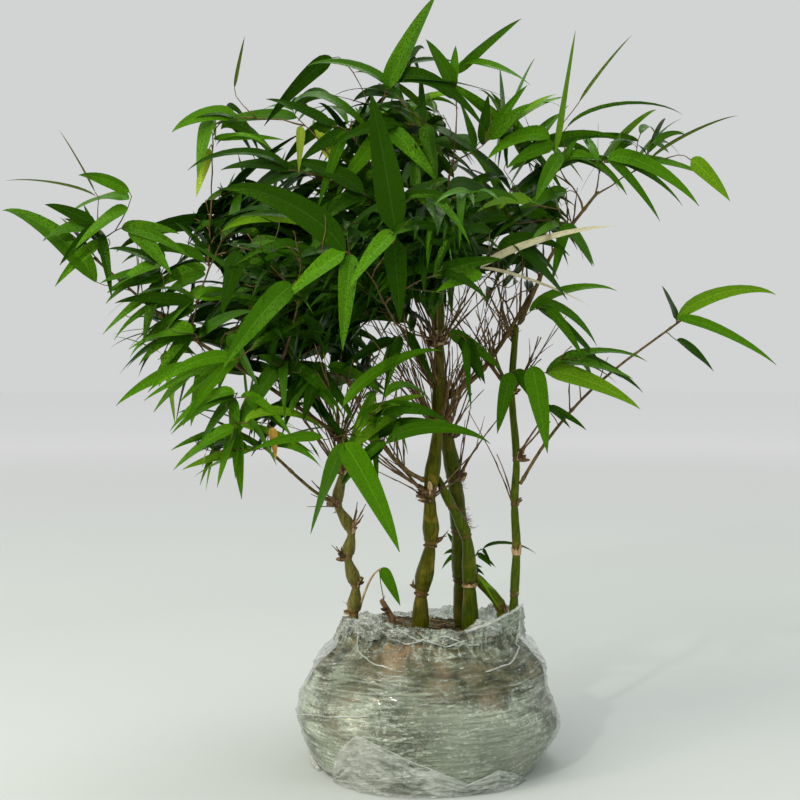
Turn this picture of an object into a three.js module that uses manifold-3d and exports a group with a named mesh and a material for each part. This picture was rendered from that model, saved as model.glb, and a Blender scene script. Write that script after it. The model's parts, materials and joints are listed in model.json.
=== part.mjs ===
// A clump of potted bamboo with swollen internodes, standing on a root ball wrapped in clear film.
// Millimetres, +Z up. The origin is the centre of the flat underside, and -Y is the front.
import * as THREE from "three";
import { mergeVertices } from "three/addons/utils/BufferGeometryUtils.js";
import Module from "manifold-3d";

const wasm = await Module();
wasm.setup();

// ---- Driving dimensions ----
const GAP = 0.35; // left between neighbouring solids
const FOOT_RADIUS = 88; // the flat underside of the root ball
const BELLY_RADIUS = 105;
const BELLY_HEIGHT = 46;
const SOIL_TOP = 102; // the middle of the soil's surface
const SOIL_FALL = 7; // how far the surface drops from its middle to its right edge
const COLLAR_RADIUS = 73; // the film gathered round the top of the soil
const COLLAR_TOP = 119;
const COLLAR_SHIFT = [5.5, 8]; // how far the top of the ball sits off the centre of its foot
const FILM = 1.5; // the film's layers together
const CULM_FOOT = 90; // culms start below the soil's surface, which then cuts them flat
const MERGE = 1e-3; // vertices nearer than this are one
const SLIVER = 0.15; // detail smaller than this is smoothed away after a cut

// ---- Finishes ----
const finish = (color, roughness) => new THREE.MeshStandardMaterial({ color, roughness, metalness: 0 });
const FINISH = {
  soil: finish(0x4a3626, 0.95),
  film: finish(0xbfc4b4, 0.2),
  culm: finish(0x5c6b24, 0.45),
  darkCulm: finish(0x38451c, 0.5),
  twig: finish(0x5a3f28, 0.7),
  leaf: finish(0x2c6b17, 0.45),
};

// ---- Solids ----
function solidFrom(geometry) {
  const bare = new THREE.BufferGeometry();
  const source = geometry.index ? geometry.toNonIndexed() : geometry;
  bare.setAttribute("position", source.getAttribute("position"));
  const merged = mergeVertices(bare, MERGE);
  return new wasm.Manifold(
    new wasm.Mesh({
      numProp: 3,
      vertProperties: new Float32Array(merged.attributes.position.array),
      triVerts: new Uint32Array(merged.index.array),
    }),
  );
}

function geometryFrom(solid) {
  const made = solid.getMesh();
  const geometry = new THREE.BufferGeometry();
  geometry.setAttribute("position", new THREE.BufferAttribute(Float32Array.from(made.vertProperties), 3));
  geometry.setIndex(new THREE.BufferAttribute(Uint32Array.from(made.triVerts), 1));
  geometry.computeVertexNormals();
  return geometry;
}

const largestBody = (solid) =>
  solid.decompose().reduce((best, body) => (body.volume() > best.volume() ? body : best));

function boxesMeet(a, b) {
  const p = a.boundingBox();
  const q = b.boundingBox();
  return [0, 1, 2].every((axis) => p.min[axis] <= q.max[axis] && q.min[axis] <= p.max[axis]);
}

// What is left of a solid outside all the cutters, without the slivers that cuts leave.
function cutBy(solid, cutters) {
  const near = cutters.filter((cutter) => boxesMeet(solid, cutter));
  return largestBody(near.reduce((left, cutter) => left.subtract(cutter), solid)).simplify(SLIVER);
}

const smooth = (low, high, value) => THREE.MathUtils.smoothstep(value, low, high);
const hump = (value, middle, width) => Math.exp(-(((value - middle) / width) ** 2));

// ---- The root ball and its film ----
const BALL_SEGMENTS = 24;

// Soft lumps round the ball, with a fold of film standing out low on the right and a dent above it.
function ballSwell(angle, height) {
  const middle = smooth(0, BELLY_HEIGHT, height);
  const lumps = 0.018 * Math.sin(2 * angle + 0.6) + 0.016 * Math.sin(3 * angle + 2.1 + height / 40);
  const fold = 0.05 * hump(angle, 0, 0.4) * hump(height, 30, 16);
  const dent = 0.05 * hump(angle, 0, 0.7) * hump(height, 57, 13);
  return 1 + middle * lumps + fold - dent;
}

// The collar stands higher at the two sides than at the front and back.
const collarRise = (angle) => 4 * Math.cos(2 * angle) + 1.5 * Math.sin(3 * angle + 1);

function shapeBall(geometry) {
  const at = geometry.getAttribute("position");
  for (let i = 0; i < at.count; i++) {
    const radius = Math.hypot(at.getX(i), at.getZ(i));
    const angle = Math.atan2(-at.getZ(i), at.getX(i));
    const height = at.getY(i);
    const swell = ballSwell(angle, height) * radius;
    const top = smooth(BELLY_HEIGHT, SOIL_TOP, height);
    const outward = radius / COLLAR_RADIUS;
    const rise = height > COLLAR_TOP - 1 ? collarRise(angle) * outward : 0;
    const fall = smooth(SOIL_TOP - 10, SOIL_TOP, height) * Math.cos(angle) * SOIL_FALL * outward;
    at.setXYZ(
      i,
      Math.cos(angle) * swell + COLLAR_SHIFT[0] * top,
      Math.sin(angle) * swell + COLLAR_SHIFT[1] * top,
      height > COLLAR_TOP - 1 ? height + rise : height - fall,
    );
  }
  return geometry;
}

// The side of the ball from its foot up to the collar, drawn in by "inset".
function ballSide(inset, foot) {
  const side = [
    [FOOT_RADIUS, foot],
    [FOOT_RADIUS + 9, 15],
    [BELLY_RADIUS - 2, 31],
    [BELLY_RADIUS, BELLY_HEIGHT],
    [BELLY_RADIUS - 3, 60],
    [BELLY_RADIUS - 11, 77],
    [COLLAR_RADIUS + 7, 91],
  ];
  return side.map(([radius, height]) => new THREE.Vector2(radius - inset, height));
}

// The soil, or with "grow" the same shape a little larger.
function soilBall(grow = 0) {
  const inset = FILM + GAP - grow;
  const profile = [
    new THREE.Vector2(0, inset),
    ...ballSide(inset, inset),
    new THREE.Vector2(COLLAR_RADIUS - inset, SOIL_TOP + grow),
    new THREE.Vector2(0, SOIL_TOP + grow),
  ];
  return solidFrom(shapeBall(new THREE.LatheGeometry(profile, BALL_SEGMENTS)));
}

function filmWrap() {
  const outside = [
    new THREE.Vector2(0, 0),
    ...ballSide(0, 0),
    new THREE.Vector2(COLLAR_RADIUS + 1, SOIL_TOP),
    new THREE.Vector2(COLLAR_RADIUS, COLLAR_TOP),
    new THREE.Vector2(0, COLLAR_TOP),
  ];
  const hollow = [
    new THREE.Vector2(0, FILM),
    ...ballSide(FILM, FILM),
    new THREE.Vector2(COLLAR_RADIUS - FILM, SOIL_TOP),
    new THREE.Vector2(COLLAR_RADIUS - FILM, COLLAR_TOP + FILM),
    new THREE.Vector2(0, COLLAR_TOP + FILM),
  ];
  const [ball, inside] = [outside, hollow].map((profile) =>
    solidFrom(shapeBall(new THREE.LatheGeometry(profile, BALL_SEGMENTS))),
  );
  return ball.subtract(inside);
}

// ---- Limbs ----
const CULM_SIDES = 7;
const BOUGH_SIDES = 5;
const BOUGH_RINGS = 9;
const RING_STEPS = [0.06, 0.3, 0.62, 0.94]; // rings of an internode, from one node to the next
const RIDGE = 0.14; // how far a node stands out from the culm

const smoothLine = (points) =>
  new THREE.CatmullRomCurve3(points.map((p) => new THREE.Vector3(...p)), false, "centripetal");

// A limb of round sections along a line from t = 0 to t = 1, drawn larger all over by "grow".
function sweep(line, radiusAt, steps, sides, grow) {
  const rings = steps.map((t) => new THREE.Vector2(1, t));
  const profile = [new THREE.Vector2(0, 0), ...rings, new THREE.Vector2(0, 1)];
  const geometry = new THREE.LatheGeometry(profile, sides);
  const at = geometry.getAttribute("position");
  const along = line.getPoint(1).sub(line.getPoint(0)).normalize();
  const across = Math.abs(along.x) < 0.75 ? new THREE.Vector3(1, 0, 0) : new THREE.Vector3(0, 0, -1);
  for (let i = 0; i < at.count; i++) {
    const t = at.getY(i);
    const tangent = line.getTangent(t);
    const first = across.clone().addScaledVector(tangent, -across.dot(tangent)).normalize();
    const second = tangent.clone().cross(first);
    const reach = radiusAt(t) + grow;
    const place = line.getPoint(t);
    place.addScaledVector(first, at.getX(i) * reach);
    place.addScaledVector(second, -at.getZ(i) * reach);
    at.setXYZ(i, place.x, place.y, place.z);
  }
  return solidFrom(geometry);
}

// A culm runs from node to node. Each internode swells above its lower node and draws in before the next.
function culm({ nodes, radius, tipRadius, belly }, grow = 0) {
  const internodes = nodes.length - 1;
  const steps = [0];
  for (let node = 0; node < internodes; node++)
    for (const step of RING_STEPS) steps.push((node + step) / internodes);
  steps.push(1);
  const radiusAt = (t) => {
    const phase = (t * internodes) % 1;
    const swelling = belly * (1 - 0.6 * t) * hump(phase, 0.34, 0.26);
    const ridge = RIDGE * hump(Math.min(phase, 1 - phase), 0, 0.06);
    return THREE.MathUtils.lerp(radius, tipRadius, t) * (1 + swelling + ridge);
  };
  return sweep(smoothLine(nodes), radiusAt, steps, CULM_SIDES, grow);
}

function bough({ through, radius, tipRadius }, grow = 0) {
  const steps = Array.from({ length: BOUGH_RINGS + 1 }, (_, i) => i / BOUGH_RINGS);
  const radiusAt = (t) => THREE.MathUtils.lerp(radius, tipRadius, t);
  return sweep(smoothLine(through), radiusAt, steps, BOUGH_SIDES, grow);
}

const CULMS = {
  main_culm: {
    nodes: [
      [-5, 4, CULM_FOOT], [-5, 4, 136], [3, 5, 176], [2, 6, 215],
      [9, 8, 271], [9, 10, 337], [8, 11, 404],
    ],
    radius: 5.5, tipRadius: 4, belly: 0.44, finish: "culm",
  },
  rear_culm: {
    nodes: [[31, 41, CULM_FOOT], [29, 38, 140], [27, 37, 182], [23, 34, 225], [16, 30, 263], [12, 27, 298]],
    radius: 5.6, tipRadius: 4.4, belly: 0.14, finish: "darkCulm",
  },
  crossing_culm: {
    nodes: [[36, 20, CULM_FOOT], [35, 20, 140], [32, 18, 180], [20, 14, 205], [9, 10, 226]],
    radius: 6.4, tipRadius: 3, belly: 0.24, finish: "culm",
  },
  right_culm: {
    nodes: [
      [69, 10, CULM_FOOT], [71, 12, 133], [73, 14, 170], [71, 15, 207],
      [73, 17, 243], [69, 21, 297], [73, 26, 352],
    ],
    radius: 3.7, tipRadius: 2.6, belly: 0.14, finish: "culm",
  },
  left_culm: {
    nodes: [
      [-59, 13, CULM_FOOT], [-60, 13, 117], [-58, 13, 140], [-65, 13, 163],
      [-61, 13, 184], [-73, 12, 206], [-68, 12, 234], [-71, 11, 266],
    ],
    radius: 3.6, tipRadius: 2.8, belly: 0.6, finish: "culm",
  },
  oblique_shoot: {
    nodes: [[62, 25, CULM_FOOT], [61, 22, 121], [36, 21, 149]],
    radius: 4.2, tipRadius: 3.4, belly: 0.1, finish: "culm",
  },
  dead_stub: {
    nodes: [[-24, 1, CULM_FOOT], [-27, 0, 112], [-37, -1, 131]],
    radius: 3, tipRadius: 2.2, belly: 0.2, finish: "twig",
  },
};

// Each bough starts inside the culm that carries it, and the culm then cuts it back.
const BOUGHS = {
  left_low_bough: {
    through: [[-73, 12, 206], [-93, 0, 220], [-133, -15, 258], [-165, -26, 276]],
    radius: 1.7, tipRadius: 1.1,
  },
  far_left_bough: {
    through: [[-71, 11, 262], [-140, -8, 312], [-198, -20, 350], [-262, -25, 405]],
    radius: 2.1, tipRadius: 1.1,
  },
  upper_left_bough: {
    through: [[3, 6, 224], [-20, -6, 238], [-46, -15, 272], [-64, -18, 312]],
    radius: 2.2, tipRadius: 1.4,
  },
  upper_right_bough: {
    through: [[13, 27, 290], [41, 20, 311], [60, 22, 336], [88, 30, 382]],
    radius: 2.8, tipRadius: 1.8,
  },
  right_shoulder_bough: {
    through: [[73, 26, 346], [84, 22, 372], [103, 18, 413], [138, 12, 460]],
    radius: 2.2, tipRadius: 1.4,
  },
  right_reach_bough: {
    through: [[72, 16, 216], [97, 14, 258], [138, 10, 305], [206, 0, 358]],
    radius: 1.7, tipRadius: 1,
  },
};

// ---- Foliage ----
const UNEVEN = 0.13; // how far a mass departs from an ellipsoid, as a share of its size
const POINT_WIDTH = 0.34; // how sharp a drawn-out point is, in radians

// A smooth uneven field over all directions, different for each seed.
function lump({ x, y, z }, seed) {
  return (
    0.5 * Math.sin(2.3 * x + 1.7 * seed) * Math.cos(2.9 * y - seed) +
    0.35 * Math.sin(3.7 * z + 2.1 * seed + 1.3 * x) +
    0.3 * Math.cos(5.1 * y + 3.3 * x + seed)
  );
}

// An uneven ellipsoid, drawn out to a point wherever a spray of leaves reaches past the rest.
function foliage({ centre, radii, seed, detail = 2, reaches = [] }, grow = 0) {
  const middle = new THREE.Vector3(...centre);
  const size = new THREE.Vector3(...radii);
  const points = reaches.map((reach) => new THREE.Vector3(...reach).sub(middle).divide(size));
  const bare = new THREE.IcosahedronGeometry(1, detail);
  bare.deleteAttribute("normal");
  bare.deleteAttribute("uv");
  const geometry = mergeVertices(bare, MERGE);
  const at = geometry.getAttribute("position");
  const ways = Array.from({ length: at.count }, (_, i) => new THREE.Vector3().fromBufferAttribute(at, i));
  for (const point of points) {
    const nearest = ways.reduce((best, way) => (way.angleTo(point) < best.angleTo(point) ? way : best));
    nearest.copy(point).normalize();
  }
  ways.forEach((way, i) => {
    const own = 1 + UNEVEN * lump(way, seed);
    const length = points.reduce((most, point) => {
      const share = hump(way.angleTo(point), 0, POINT_WIDTH);
      return Math.max(most, own + (point.length() - own) * share);
    }, own);
    const place = way.clone().multiplyScalar(length).multiply(size);
    place.addScaledVector(place.clone().normalize(), grow).add(middle);
    at.setXYZ(i, place.x, place.y, place.z);
  });
  return solidFrom(geometry);
}

const FOLIAGE = {
  heart_centre: { centre: [-26, -5, 404], radii: [58, 84, 66], seed: 1 },
  heart_left: { centre: [-114, -12, 350], radii: [62, 76, 56], seed: 2 },
  left_upper: { centre: [-142, 0, 424], radii: [66, 76, 48], seed: 3 },
  left_fan: {
    centre: [-196, -14, 348], radii: [56, 58, 52], seed: 4,
    reaches: [[-262, -24, 338], [-176, -20, 292]],
  },
  left_low: {
    centre: [-146, -38, 284], radii: [58, 56, 40], seed: 5,
    reaches: [[-186, -46, 222], [-120, -60, 240]],
  },
  far_left_spray: {
    centre: [-266, -26, 424], radii: [36, 30, 27], seed: 6,
    reaches: [[-336, -30, 456], [-326, -26, 374], [-308, -22, 480]],
  },
  left_shoulder: { centre: [-152, -4, 494], radii: [40, 42, 48], seed: 7, reaches: [[-146, -4, 560]] },
  crown_top_left: { centre: [-76, -6, 506], radii: [50, 60, 52], seed: 8 },
  crown_top: { centre: [-8, -5, 520], radii: [44, 54, 48], seed: 9, reaches: [[-2, -8, 609]] },
  crown_top_right: { centre: [68, 4, 514], radii: [50, 60, 46], seed: 10, reaches: [[112, 2, 584]] },
  right_middle: { centre: [66, 6, 438], radii: [52, 72, 40], seed: 11 },
  right_shoulder: {
    centre: [156, 6, 474], radii: [52, 48, 40], seed: 12,
    reaches: [[228, 0, 488], [240, 8, 532], [216, -6, 442]],
  },
  right_low: { centre: [114, 4, 330], radii: [46, 46, 36], seed: 13, reaches: [[176, 0, 292], [90, -24, 262]] },
  far_right_spray: {
    centre: [228, 0, 350], radii: [30, 24, 22], seed: 14, detail: 1,
    reaches: [[280, -2, 370], [276, 2, 306]],
  },
  front_low: {
    centre: [-42, -52, 278], radii: [54, 40, 42], seed: 15,
    reaches: [[-28, -74, 204], [-74, -70, 216], [32, -56, 268]],
  },
  front_left: { centre: [-100, -96, 402], radii: [70, 44, 54], seed: 16 },
  front_right: { centre: [4, -100, 416], radii: [64, 44, 58], seed: 17 },
  rear_left: { centre: [-98, 102, 408], radii: [84, 58, 72], seed: 18 },
  rear_right: { centre: [62, 104, 438], radii: [78, 56, 70], seed: 19 },
  rear_crown: { centre: [-18, 92, 506], radii: [68, 54, 48], seed: 20 },
  rear_low: { centre: [-78, 96, 318], radii: [58, 48, 40], seed: 21 },
  low_side_shoot: { centre: [32, 50, 160], radii: [24, 9, 10], seed: 22, detail: 1, reaches: [[90, 48, 157]] },
  stub_leaf: {
    centre: [-29, -2, 144], radii: [7, 4, 13], seed: 23, detail: 1,
    reaches: [[-20, -4, 127], [-37, -1, 131]],
  },
};

// ---- Assembly ----
const group = new THREE.Group();

function addNode(name, solid, material) {
  const mesh = new THREE.Mesh(geometryFrom(solid), material);
  mesh.name = name;
  group.add(mesh);
}

addNode("soil_ball", soilBall(), FINISH.soil);
addNode("film_wrap", filmWrap(), FINISH.film);

const soilCutter = soilBall(GAP);
const cutters = [];
for (const [name, spec] of Object.entries(CULMS)) {
  addNode(name, cutBy(culm(spec), [soilCutter, ...cutters]), FINISH[spec.finish]);
  cutters.push(culm(spec, GAP));
}
for (const [name, spec] of Object.entries(BOUGHS)) {
  addNode(name, cutBy(bough(spec), cutters), FINISH.twig);
  cutters.push(bough(spec, GAP));
}
for (const [name, spec] of Object.entries(FOLIAGE)) {
  addNode(name, cutBy(foliage(spec), cutters), FINISH.leaf);
  cutters.push(foliage(spec, GAP));
}

export default group;
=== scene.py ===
"""A clump of bamboo on a root ball wrapped in clear film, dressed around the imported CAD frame.

The culms and boughs follow the centre lines of the CAD limbs. Twigs grow on from them by a seeded
branching rule and carry sprays of leaves, which keep to the CAD foliage masses. Fans of leaves at the
front and rim of each mass may reach a little past it, but not out of the model's box.
"""

import json
import math
import random

import bpy
import numpy as np
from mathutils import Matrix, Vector, noise
from mathutils.bvhtree import BVHTree

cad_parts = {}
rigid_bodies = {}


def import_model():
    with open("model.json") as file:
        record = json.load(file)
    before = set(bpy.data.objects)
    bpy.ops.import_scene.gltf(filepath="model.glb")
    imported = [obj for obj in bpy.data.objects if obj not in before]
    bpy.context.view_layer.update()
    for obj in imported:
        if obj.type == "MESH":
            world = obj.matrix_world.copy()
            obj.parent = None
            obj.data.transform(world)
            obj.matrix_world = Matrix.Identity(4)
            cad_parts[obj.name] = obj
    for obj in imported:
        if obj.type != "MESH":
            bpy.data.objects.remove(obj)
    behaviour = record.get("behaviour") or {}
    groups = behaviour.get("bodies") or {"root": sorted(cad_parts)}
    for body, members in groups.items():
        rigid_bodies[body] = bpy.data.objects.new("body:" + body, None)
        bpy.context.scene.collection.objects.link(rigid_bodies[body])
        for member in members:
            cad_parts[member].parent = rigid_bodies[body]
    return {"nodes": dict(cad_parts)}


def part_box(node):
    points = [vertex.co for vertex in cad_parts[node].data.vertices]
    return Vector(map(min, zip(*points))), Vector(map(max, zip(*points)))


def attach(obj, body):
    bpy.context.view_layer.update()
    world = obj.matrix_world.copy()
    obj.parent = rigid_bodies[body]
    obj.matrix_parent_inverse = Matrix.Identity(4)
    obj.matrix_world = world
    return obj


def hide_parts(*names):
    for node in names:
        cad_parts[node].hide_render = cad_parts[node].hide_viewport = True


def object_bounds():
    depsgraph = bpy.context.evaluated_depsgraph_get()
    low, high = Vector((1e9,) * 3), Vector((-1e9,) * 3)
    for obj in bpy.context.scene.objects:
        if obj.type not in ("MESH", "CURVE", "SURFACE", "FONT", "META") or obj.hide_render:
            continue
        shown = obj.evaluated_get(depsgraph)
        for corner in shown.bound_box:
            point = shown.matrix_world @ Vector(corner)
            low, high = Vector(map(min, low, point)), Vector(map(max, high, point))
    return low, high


MM = 0.001
UP = np.array([0.0, 0.0, 1.0])
SEED = 11

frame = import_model()
cad_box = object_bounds()


# ---- Small helpers ----
def unit(vector):
    return vector / max(np.linalg.norm(vector), 1e-9)


def turned(vector, axis, angle):
    """vector turned about axis by an angle in radians."""
    axis = unit(axis)
    along = axis * np.dot(axis, vector)
    return along + (vector - along) * math.cos(angle) + np.cross(axis, vector) * math.sin(angle)


def hump(x, centre, width):
    """A smooth bump of height 1 and the given half-width."""
    return math.exp(-(((x - centre) / width) ** 2))


def wobble(*place):
    """Smooth noise round 0 at a place in three dimensions."""
    return noise.noise(Vector(place))


def jumble(draw):
    """A vector whose three parts are drawn between -1 and 1."""
    return np.array([draw.uniform(-1, 1) for _ in range(3)])


def listed(table):
    """The rows of a table that holds them by name, each with its name in front."""
    return [(name, *row) for name, rows in table.items() for row in rows]


def surface_tree(name):
    """A CAD node's surface, for measuring from."""
    mesh = frame["nodes"][name].data
    return BVHTree.FromPolygons([v.co for v in mesh.vertices], [p.vertices for p in mesh.polygons])


class Shape:
    """Points, faces and each face's material, gathered before one mesh is made of them."""

    def __init__(self):
        self.points = []
        self.faces = []
        self.kinds = []
        self.across = []
        self.values = []

    def add(self, points, faces, kinds, across=None, values=None):
        start = len(self.points)
        self.points.extend(points)
        self.faces.extend([tuple(start + i for i in face) for face in faces])
        self.kinds.extend(kinds if isinstance(kinds, list) else [kinds] * len(faces))
        self.across.extend(across if across is not None else [(0, 0)] * len(points))
        self.values.extend(values if values is not None else [0.0] * len(points))

    def piece(self, name, materials, slot, replaced=()):
        """One mesh object of all that was added, riding on the plant."""
        mesh = bpy.data.meshes.new(name)
        mesh.from_pydata([tuple(p) for p in self.points], [], self.faces)
        for material in materials:
            mesh.materials.append(material)
        mesh.polygons.foreach_set("material_index", self.kinds)
        mesh.polygons.foreach_set("use_smooth", [True] * len(self.faces))
        corners = np.zeros(len(mesh.loops), dtype=np.int32)
        mesh.loops.foreach_get("vertex_index", corners)
        layer = mesh.uv_layers.new(name="blade")
        layer.data.foreach_set("uv", np.array(self.across, dtype=np.float32)[corners].ravel())
        mark = mesh.attributes.new("mark", "FLOAT", "POINT")
        mark.data.foreach_set("value", np.array(self.values, dtype=np.float32))
        mesh.update()
        piece = bpy.data.objects.new(name, mesh)
        bpy.context.scene.collection.objects.link(piece)
        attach(piece, "root")
        if replaced:
            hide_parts(*replaced)
        return piece


def frames_along(line):
    """Headings and two cross directions along a line of points, carried on without twist."""
    heads = np.gradient(line, axis=0)
    heads /= np.maximum(np.linalg.norm(heads, axis=1), 1e-9)[:, None]
    side = np.cross(heads[0], [0.31, 0.87, 0.38])
    sides = []
    for head in heads:
        side = unit(side - head * np.dot(side, head))
        sides.append(side)
    sides = np.array(sides)
    return heads, sides, np.cross(heads, sides)


def add_tube(shape, line, radii, sides=6, kind=0, values=None):
    """A closed tube along a line; radii holds one radius a ring, or one for each point of each ring."""
    _, first, second = frames_along(line)
    angles = np.linspace(0, 2 * math.pi, sides, endpoint=False)
    radii = np.asarray(radii, dtype=float)
    if radii.ndim == 1:
        radii = np.repeat(radii[:, None], sides, axis=1)
    ring = np.cos(angles)[None, :, None] * first[:, None, :]
    ring = ring + np.sin(angles)[None, :, None] * second[:, None, :]
    points = (line[:, None, :] + ring * radii[:, :, None]).reshape(-1, 3)
    rings = len(line)
    faces = [
        (r * sides + i, r * sides + (i + 1) % sides, (r + 1) * sides + (i + 1) % sides, (r + 1) * sides + i)
        for r in range(rings - 1)
        for i in range(sides)
    ]
    faces.append(tuple(reversed(range(sides))))
    faces.append(tuple((rings - 1) * sides + i for i in range(sides)))
    marks = None if values is None else list(np.repeat(values, sides))
    shape.add(list(points), faces, kind, values=marks)


# ---- Materials ----
class Look:
    """A Principled material whose colour, roughness and bump come from its own nodes."""

    def __init__(self, name, colour, roughness, **settings):
        self.material = bpy.data.materials.new(name)
        self.material.use_nodes = True
        self.nodes = self.material.node_tree.nodes
        self.links = self.material.node_tree.links
        self.shader = self.nodes["Principled BSDF"]
        self.shader.inputs["Base Color"].default_value = (*colour, 1)
        self.shader.inputs["Roughness"].default_value = roughness
        for socket, value in settings.items():
            self.shader.inputs[socket.replace("_", " ")].default_value = value

    def node(self, kind, **sockets):
        node = self.nodes.new(kind)
        for socket, value in sockets.items():
            node.inputs[socket.replace("_", " ")].default_value = value
        return node

    def join(self, source, target):
        self.links.new(source, target)

    def place(self, stretch=(1, 1, 1), uv=False, tilt=0.0):
        """Coordinates on the object, tilted about its y axis, then stretched along each axis."""
        source = self.node("ShaderNodeTexCoord").outputs["UV" if uv else "Object"]
        if tilt:
            turning = self.node("ShaderNodeMapping", Rotation=(0, tilt, 0))
            self.join(source, turning.inputs["Vector"])
            source = turning.outputs["Vector"]
        mapping = self.node("ShaderNodeMapping", Scale=stretch)
        self.join(source, mapping.inputs["Vector"])
        return mapping.outputs["Vector"]

    def grain(self, scale, stretch=(1, 1, 1), detail=4.0, distortion=0.0, uv=False, tilt=0.0):
        texture = self.node("ShaderNodeTexNoise", Scale=scale, Detail=detail, Distortion=distortion)
        self.join(self.place(stretch, uv, tilt), texture.inputs["Vector"])
        return texture.outputs["Fac"]

    def ramp(self, source, *stops):
        """Colours, or greys, dealt out by a value: each stop is (position, colour)."""
        ramp = self.node("ShaderNodeValToRGB")
        elements = ramp.color_ramp.elements
        while len(elements) < len(stops):
            elements.new(0.5)
        for element, (position, colour) in zip(elements, stops):
            element.position = position
            element.color = (*colour, 1) if isinstance(colour, tuple) else (colour, colour, colour, 1)
        self.join(source, ramp.inputs["Fac"])
        return ramp.outputs["Color"]

    def rise(self, source, low, high, top=1.0):
        """A grey from 0 to top as source goes from low to high."""
        return self.ramp(source, (low, 0.0), (high, top))

    def lay(self, under, source, low, high, top, colour):
        """A colour laid over what is under it, up to a share of top, as source goes from low to high."""
        return self.mix(self.rise(source, low, high, top), under, colour)

    def mix(self, share, first, second):
        """A blend of two colours, from the first to the second as share goes from 0 to 1."""
        mix = self.node("ShaderNodeMix")
        mix.data_type = "RGBA"
        self.feed(share, mix.inputs["Factor"])
        self.feed(first, mix.inputs[6])
        self.feed(second, mix.inputs[7])
        return mix.outputs[2]

    def times(self, first, second):
        """The product of two greys."""
        product = self.node("ShaderNodeMath")
        product.operation = "MULTIPLY"
        self.join(first, product.inputs[0])
        self.join(second, product.inputs[1])
        return product.outputs["Value"]

    def feed(self, value, socket):
        """Joins a node's output to a socket, or sets a plain colour or number on it."""
        if isinstance(value, bpy.types.NodeSocket):
            self.join(value, socket)
        elif isinstance(value, tuple):
            socket.default_value = (*value, 1)
        else:
            socket.default_value = value

    def mark(self):
        """The value that the mesh holds at each point."""
        attribute = self.node("ShaderNodeAttribute")
        attribute.attribute_name = "mark"
        return attribute.outputs["Fac"]

    def colour(self, source):
        self.join(source, self.shader.inputs["Base Color"])

    def rough(self, source):
        self.join(source, self.shader.inputs["Roughness"])

    def alpha(self, source):
        self.join(source, self.shader.inputs["Alpha"])

    def bump(self, source, distance, strength=1.0):
        """Fine relief in the shading, on top of any given before."""
        node = self.node("ShaderNodeBump", Distance=distance, Strength=strength)
        self.join(source, node.inputs["Height"])
        earlier = self.shader.inputs["Normal"].links
        if earlier:
            self.join(earlier[0].from_socket, node.inputs["Normal"])
        self.join(node.outputs["Normal"], self.shader.inputs["Normal"])


def leaf_look(name, colour, roughness):
    """A wet leaf of one plain colour, with its veins and small drops as fine relief."""
    look = Look(name, colour, roughness, Specular_IOR_Level=0.32, Specular_Tint=(0.35, 0.8, 0.03, 1.0))
    veins = look.grain(1.0, stretch=(1400, 14, 1), detail=2.0, uv=True)
    look.bump(veins, 0.00025, 0.5)
    mottle = look.grain(90.0, detail=3.0)
    look.bump(mottle, 0.0009, 0.35)
    drops = look.rise(look.grain(880.0, detail=2.0), 0.56, 0.68)
    look.bump(drops, 0.0008, 0.7)
    return look.material


def culm_look(name, dark, light, patch, band):
    """Culm skin: streaks along the grain, yellowing patches, and a brown scar at each node (the mark)."""
    look = Look(name, dark, 0.35, Specular_IOR_Level=0.3, Specular_Tint=(0.8, 0.85, 0.2, 1.0))
    streaks = look.grain(1.0, stretch=(900, 900, 45), detail=4.0, distortion=0.6)
    skin = look.ramp(streaks, (0.3, dark), (0.7, light))
    blotches = look.grain(55.0, detail=5.0, distortion=0.5)
    skin = look.lay(skin, blotches, 0.54, 0.68, 0.75, patch)
    flecks = look.grain(620.0, detail=2.0)
    skin = look.lay(skin, flecks, 0.6, 0.74, 0.5, band)
    skin = look.lay(skin, look.mark(), 0.15, 0.9, 0.95, band)
    look.colour(skin)
    look.rough(look.ramp(blotches, (0.3, 0.27), (0.8, 0.5)))
    look.bump(streaks, 0.0006, 0.35)
    look.bump(flecks, 0.0004, 0.4)
    return look.material


def dry_look(name, dark, light, roughness=0.75):
    """Dead, papery or woody stuff: uneven browns with fibres along it."""
    look = Look(name, dark, roughness, Specular_IOR_Level=0.25, Specular_Tint=(1.0, 0.75, 0.4, 1.0))
    fibres = look.grain(320.0, stretch=(1, 1, 0.25), detail=5.0, distortion=0.4)
    look.colour(look.ramp(fibres, (0.32, dark), (0.68, light)))
    look.rough(look.ramp(fibres, (0.2, roughness - 0.15), (0.9, min(1.0, roughness + 0.15))))
    look.bump(fibres, 0.0006, 0.6)
    return look.material


def soil_look():
    """Moist potting soil full of roots: dark crumbs, tan fibres and brown and greenish patches."""
    look = Look("soil_and_roots", (0.06, 0.05, 0.025), 0.9, Specular_IOR_Level=0.25)
    clods = look.grain(60.0, stretch=(1, 1, 1.8), detail=8.0, distortion=0.8)
    crumbs = look.grain(420.0, detail=4.0)
    wet, moist, tan = (0.012, 0.014, 0.006), (0.085, 0.085, 0.036), (0.23, 0.2, 0.11)
    earth = look.ramp(clods, (0.3, wet), (0.5, moist), (0.68, tan))
    patches = look.grain(19.0, detail=3.0)
    earth = look.lay(earth, patches, 0.6, 0.7, 0.7, (0.34, 0.22, 0.11))
    earth = look.mix(look.ramp(patches, (0.3, 0.7), (0.42, 0.0)), earth, (0.05, 0.085, 0.05))
    earth = look.lay(earth, look.mark(), 0.1, 0.8, 0.8, (0.42, 0.29, 0.16))
    look.colour(look.lay(earth, crumbs, 0.55, 0.72, 0.6, (0.016, 0.016, 0.008)))
    look.rough(look.ramp(crumbs, (0.2, 0.75), (0.8, 1.0)))
    look.bump(clods, 0.004, 0.7)
    look.bump(crumbs, 0.0015, 0.7)
    return look.material


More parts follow.
